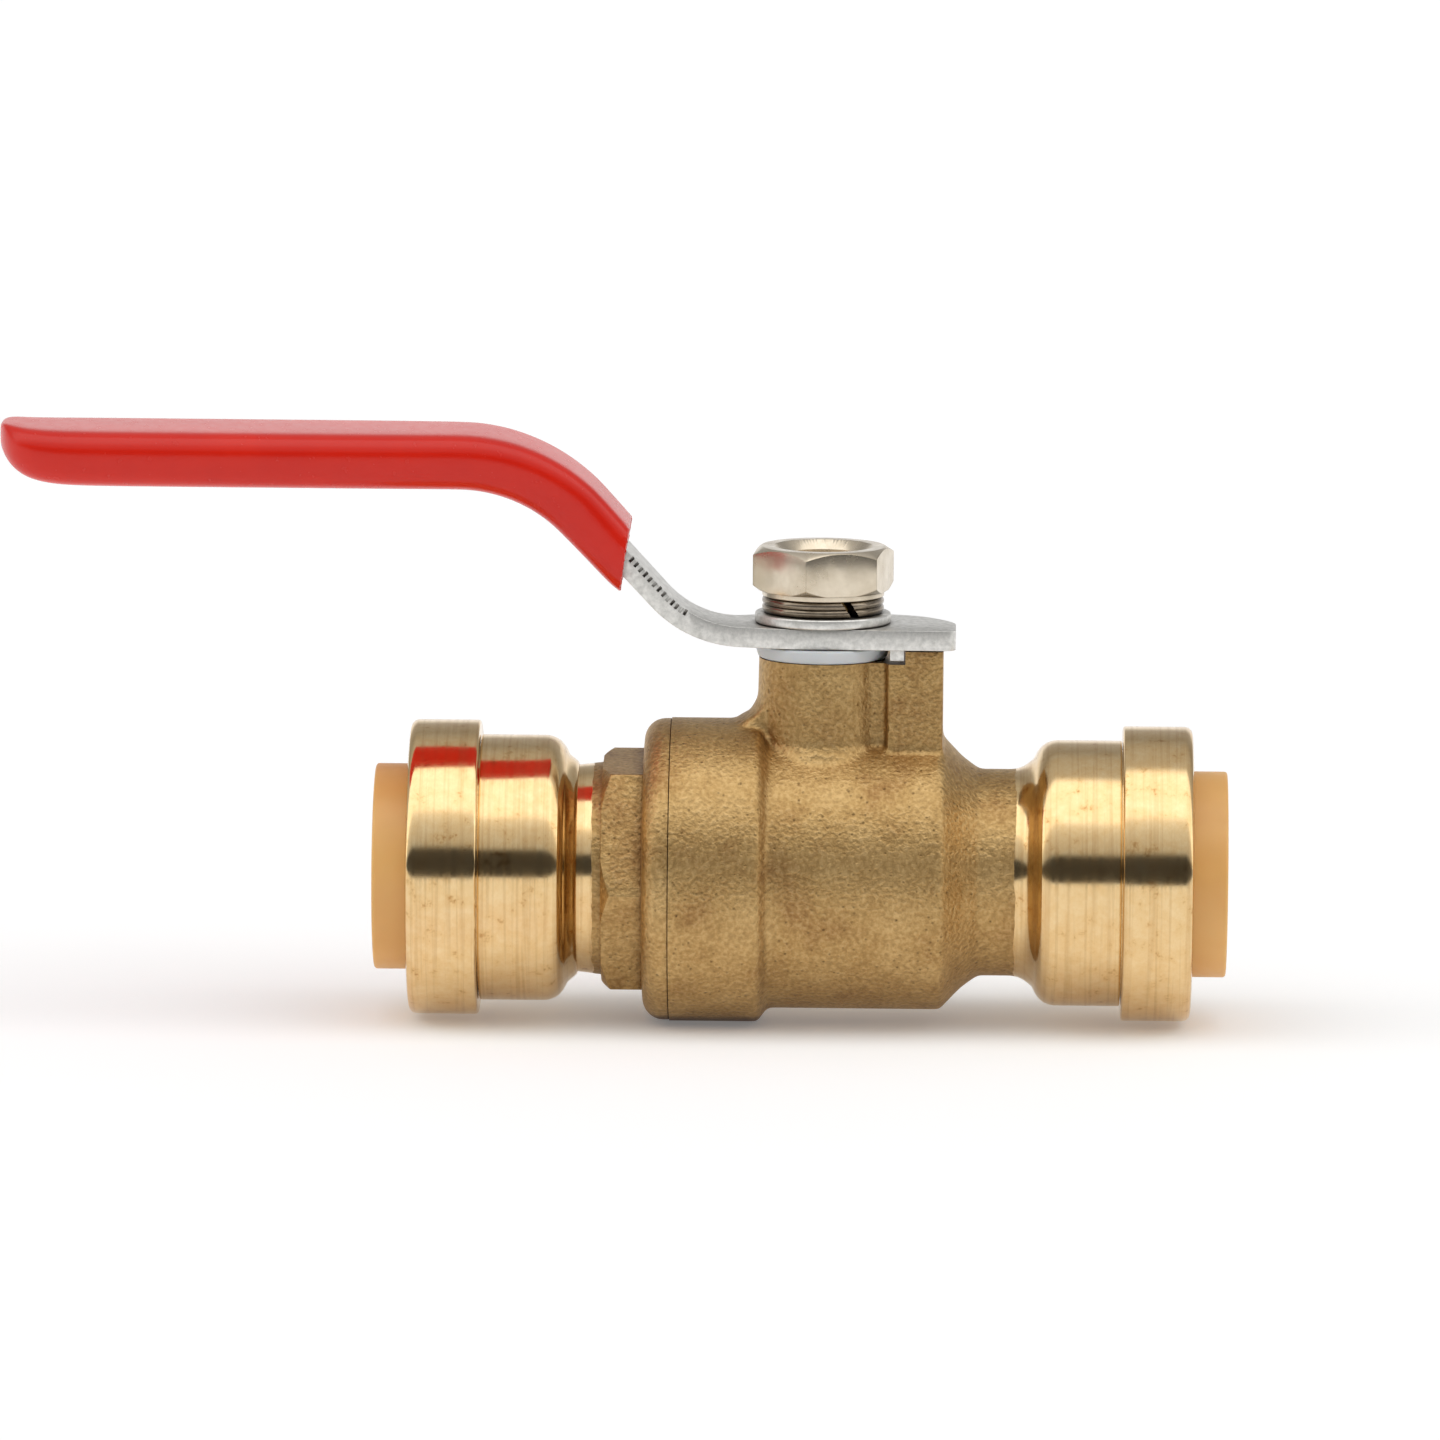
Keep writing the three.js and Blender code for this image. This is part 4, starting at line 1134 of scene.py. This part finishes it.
# %% Grip section and stations
GRIP_HIGH = 5.7
# the cross-section, as (across, up) from the plate's middle
SECTION = [(8.0, 0.5), (7.95, 1.4), (7.5, 2.3), (6.7, 2.85), (5.2, 3.0), (0, 3.0), (-5.2, 3.0), (-6.7, 2.85),
           (-7.5, 2.3), (-7.95, 1.4), (-8.0, 0.5), (-7.9, -0.6), (-7.45, -1.6), (-6.5, -2.4), (-5.0, -2.7),
           (0, -2.7), (5.0, -2.7), (6.5, -2.4), (7.45, -1.6), (7.9, -0.6)]
# mm from the tip, share of the width, share of the height, and lift as a share of half the height
NOSE_STATIONS = [(0.0, 0.18, 0.30, 0.75), (0.35, 0.42, 0.52, 0.62), (1.2, 0.64, 0.74, 0.38),
                 (2.8, 0.82, 0.9, 0.14), (5.2, 0.94, 0.98, 0.03), (8.5, 1.0, 1.0, 0.0)]
LEVEL_STATIONS = (-66, -58, -50, -43)
GRIP_TAPER = [(-48, 1), (-34, 0.95), (-24, 0.8), (0, 0.75)]  # share of the full width along X
SLEEVE_STEPS = 9
MOUTH_HIGH = 0.9  # share of the height near the mouth


def taper(x):
    """The sleeve's width at x, as a share of its full width."""
    for (left, before), (right, after) in zip(GRIP_TAPER, GRIP_TAPER[1:]):
        if left <= x <= right:
            return before + (after - before) * (x - left) / (right - left)
    return 1


grip_tip_x = span("grip")[0].x
low_bend, high_bend = lever_line(SLEEVE_STEPS)
slope_start = Vector(low_bend[-1])
slope_end = Vector(high_bend[0])
past_mouth = slope_end.lerp(slope_start, 0.9)
stations = [(grip_tip_x + run, level_z + lift * GRIP_HIGH / 2, wide, high)
            for run, wide, high, lift in NOSE_STATIONS]
stations += [(x, level_z, 1, 1) for x in LEVEL_STATIONS]
stations += [(x, z, taper(x), 1) for x, z in reversed(high_bend)]
stations += [(x, z, taper(x), MOUTH_HIGH) for x, z in (slope_end.lerp(past_mouth, 0.5), past_mouth)]
print("stations along the grip:", len(stations))

# %% [markdown]
# Extruding moves the last section to the next station. Resizing about that station's middle gives
# its width and height, and rotating about the same point turns it to the lever's slope there.

# %% Grip body
def heading(i):
    """The lever's slope at a station, as an angle about Y. The nose lies level."""
    if i < len(NOSE_STATIONS) + 2:
        return 0.0
    x0, z0 = stations[i - 1][:2]
    x1, z1 = stations[min(i + 1, len(stations) - 1)][:2]
    return math.atan2(z0 - z1, x1 - x0)


first = stations[0]
grip = pen_line("grip_piece", [(y * first[2], z * first[3]) for y, z in SECTION + SECTION[:1]],
                lambda y, z: Vector((first[0], y, first[1] + z)))
close_line(grip)
edit(grip)
bpy.ops.mesh.edge_face_add()
for i in range(1, len(stations)):
    before, after = stations[i - 1], stations[i]
    move = Vector((after[0] - before[0], 0, after[1] - before[1])) * MM
    centre = Vector((after[0], 0, after[1])) * MM
    bpy.ops.mesh.extrude_region_move(TRANSFORM_OT_translate={"value": move})
    bpy.ops.transform.resize(value=(1, after[2] / before[2], after[3] / before[3]), center_override=centre)
    bpy.ops.transform.rotate(value=heading(i - 1) - heading(i), orient_axis="Y", center_override=centre)
object_mode()
tidy(grip)
modify(grip, "SUBSURF", levels=3, render_levels=3)
count(grip)

# %% [markdown]
# The sleeve's mouth is trimmed almost upright with a bisect. The cut face is extruded and scaled in
# small steps for a rounded lip, scaled again for the wall, and pushed up the slope round the steel.

# %% Grip mouth
MOUTH = Vector((-19.6, 0, level_z - 8)) * MM  # a point on the mouth's plane
MOUTH_LEAN = math.radians(8)
MOUTH_FACING = Vector((math.cos(MOUTH_LEAN), 0, -math.sin(MOUTH_LEAN)))
# the lip in steps: mm up the slope, then what is kept of its height and of its width
LIP = [(-0.12, 0.95, 0.97), (0, 0.93, 0.97), (0, 0.5, 0.82), (5, 1, 1)]
edit(grip)
bpy.ops.mesh.bisect(plane_co=MOUTH, plane_no=MOUTH_FACING, use_fill=True, clear_outer=True)
bpy.ops.mesh.select_mode(type="FACE")
plate_line = [Vector((x, 0, z)) * MM for x, z in (slope_start, slope_end)]
mouth_centre = intersect_line_plane(*plate_line, MOUTH, MOUTH_FACING)
up_the_slope = (plate_line[1] - plate_line[0]).normalized()
for move, high, wide in LIP:
    bpy.ops.mesh.extrude_region_move(TRANSFORM_OT_translate={"value": move * MM * up_the_slope})
    bpy.ops.transform.resize(value=(high, wide, high),
                             center_override=mouth_centre + max(move, 0) * MM * up_the_slope)
object_mode()
tidy(grip)
soften(grip, 50)
done(grip, vinyl, "lever_and_stem", "grip")
count(grip)

# %% [markdown]
# ## Pieces that stay as they are
#
# The seals deep inside never show. They keep the model's own shape and only get their finish.

# %% Hidden seals
HIDDEN = {"cap_oring": nitrile, "stem_oring_lower": nitrile, "stem_oring_upper": nitrile,
          "stem_thrust_washer": ptfe}
for node, material in HIDDEN.items():
    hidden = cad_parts[node]
    hidden.data.materials.clear()
    hidden.data.materials.append(material)
print("hidden pieces with a finish:", len(HIDDEN))

# %% [markdown]
# ## Floor
#
# The valve lies on a wide, pale, matt floor. It glows a very little, so that the shadow under the
# valve stays soft and light.

# %% Floor
FLOOR_SIZE = 12  # metres, far past the edge of the view
FLOOR_GLOW = 0.16
floor_z = span("body")[0].z
bpy.ops.object.select_all(action="DESELECT")
bpy.ops.mesh.primitive_plane_add(size=FLOOR_SIZE, location=(0, 0, floor_z * MM))
floor = named("floor")
settle(floor)
pale, tree, surface, place = finish("pale_floor")
surface.inputs["Base Color"].default_value = linear("#f6f6f6")
surface.inputs["Roughness"].default_value = 0.9
surface.inputs["Emission Color"].default_value = linear("#ffffff")
surface.inputs["Emission Strength"].default_value = FLOOR_GLOW
floor.data.materials.append(pale)
print("floor at z, mm:", round(floor_z, 1))

# %% [markdown]
# ## Studio light
#
# A polished cylinder shows the whole room as stripes, so the room matters as much as the metal: a
# wide soft light overhead, a pale floor below, and between them a dark band near the horizon that
# gives brass its depth. The room is the world's own light, painted by the angle above the horizon.

# %% Studio light
# each stop: degrees up from the front horizon, over the top and down to the back one, and brightness
BANDS = [(0, 0.05), (22, 0.06), (26, 0.58), (42, 0.8), (50, 1.05), (55, 1.6), (94, 1.65), (101, 0.6),
         (125, 0.5), (140, 0.34), (160, 0.45), (170, 1.0), (180, 1.0)]
brightest = max(light for _, light in BANDS)
world = bpy.data.worlds.new("studio")
bpy.context.scene.world = world
world.use_nodes = True
sky = world.node_tree
direction = add(sky, "SeparateXYZ", {"Vector": add(sky, "TexCoord").outputs["Generated"]}).outputs
toward = add(sky, "Math", {0: direction["Y"], 1: -1.0}, operation="MULTIPLY").outputs["Value"]
angle = add(sky, "Math", {0: direction["Z"], 1: toward}, operation="ARCTAN2").outputs["Value"]
share = add(sky, "MapRange", {"Value": angle, "From Max": math.pi}).outputs["Result"]
glow = ramp(sky, share, *[(degrees / 180, light / brightest) for degrees, light in BANDS])
sky.links.new(glow, sky.nodes["Background"].inputs["Color"])
sky.nodes["Background"].inputs["Strength"].default_value = brightest
print("bands of light:", len(BANDS))

# %% [markdown]
# ## Camera
#
# A catalogue view stands far off with a long lens, so that both ends of the valve look the same
# size, and only a little above the pipe, so that the nut's top just shows. The lens follows from
# the distance and the width that has to fit.

# %% Camera
VIEW_WIDE = 144  # mm across the frame at the valve
DISTANCE = 1300
SENSOR = 36
ELEVATION = math.radians(8.2)
YAW = math.radians(0.98)
ROLL = math.radians(0.45)
aim = Vector((-10.2, 0, 15.1)) * MM
level = math.cos(ELEVATION)
away = Vector((math.sin(YAW) * level, -math.cos(YAW) * level, math.sin(ELEVATION)))
lens = bpy.data.cameras.new("camera")
lens.sensor_width = SENSOR
lens.lens = SENSOR * DISTANCE / VIEW_WIDE
camera = bpy.data.objects.new("camera", lens)
facing = (-away).to_track_quat("-Z", "Y").to_matrix().to_4x4()
camera.matrix_world = Matrix.Translation(aim + away * DISTANCE * MM) @ facing @ Matrix.Rotation(ROLL, 4, "Z")
bpy.context.collection.objects.link(camera)
bpy.context.scene.camera = camera
bpy.context.scene.view_settings.view_transform = "Standard"
print("lens, mm:", round(lens.lens))
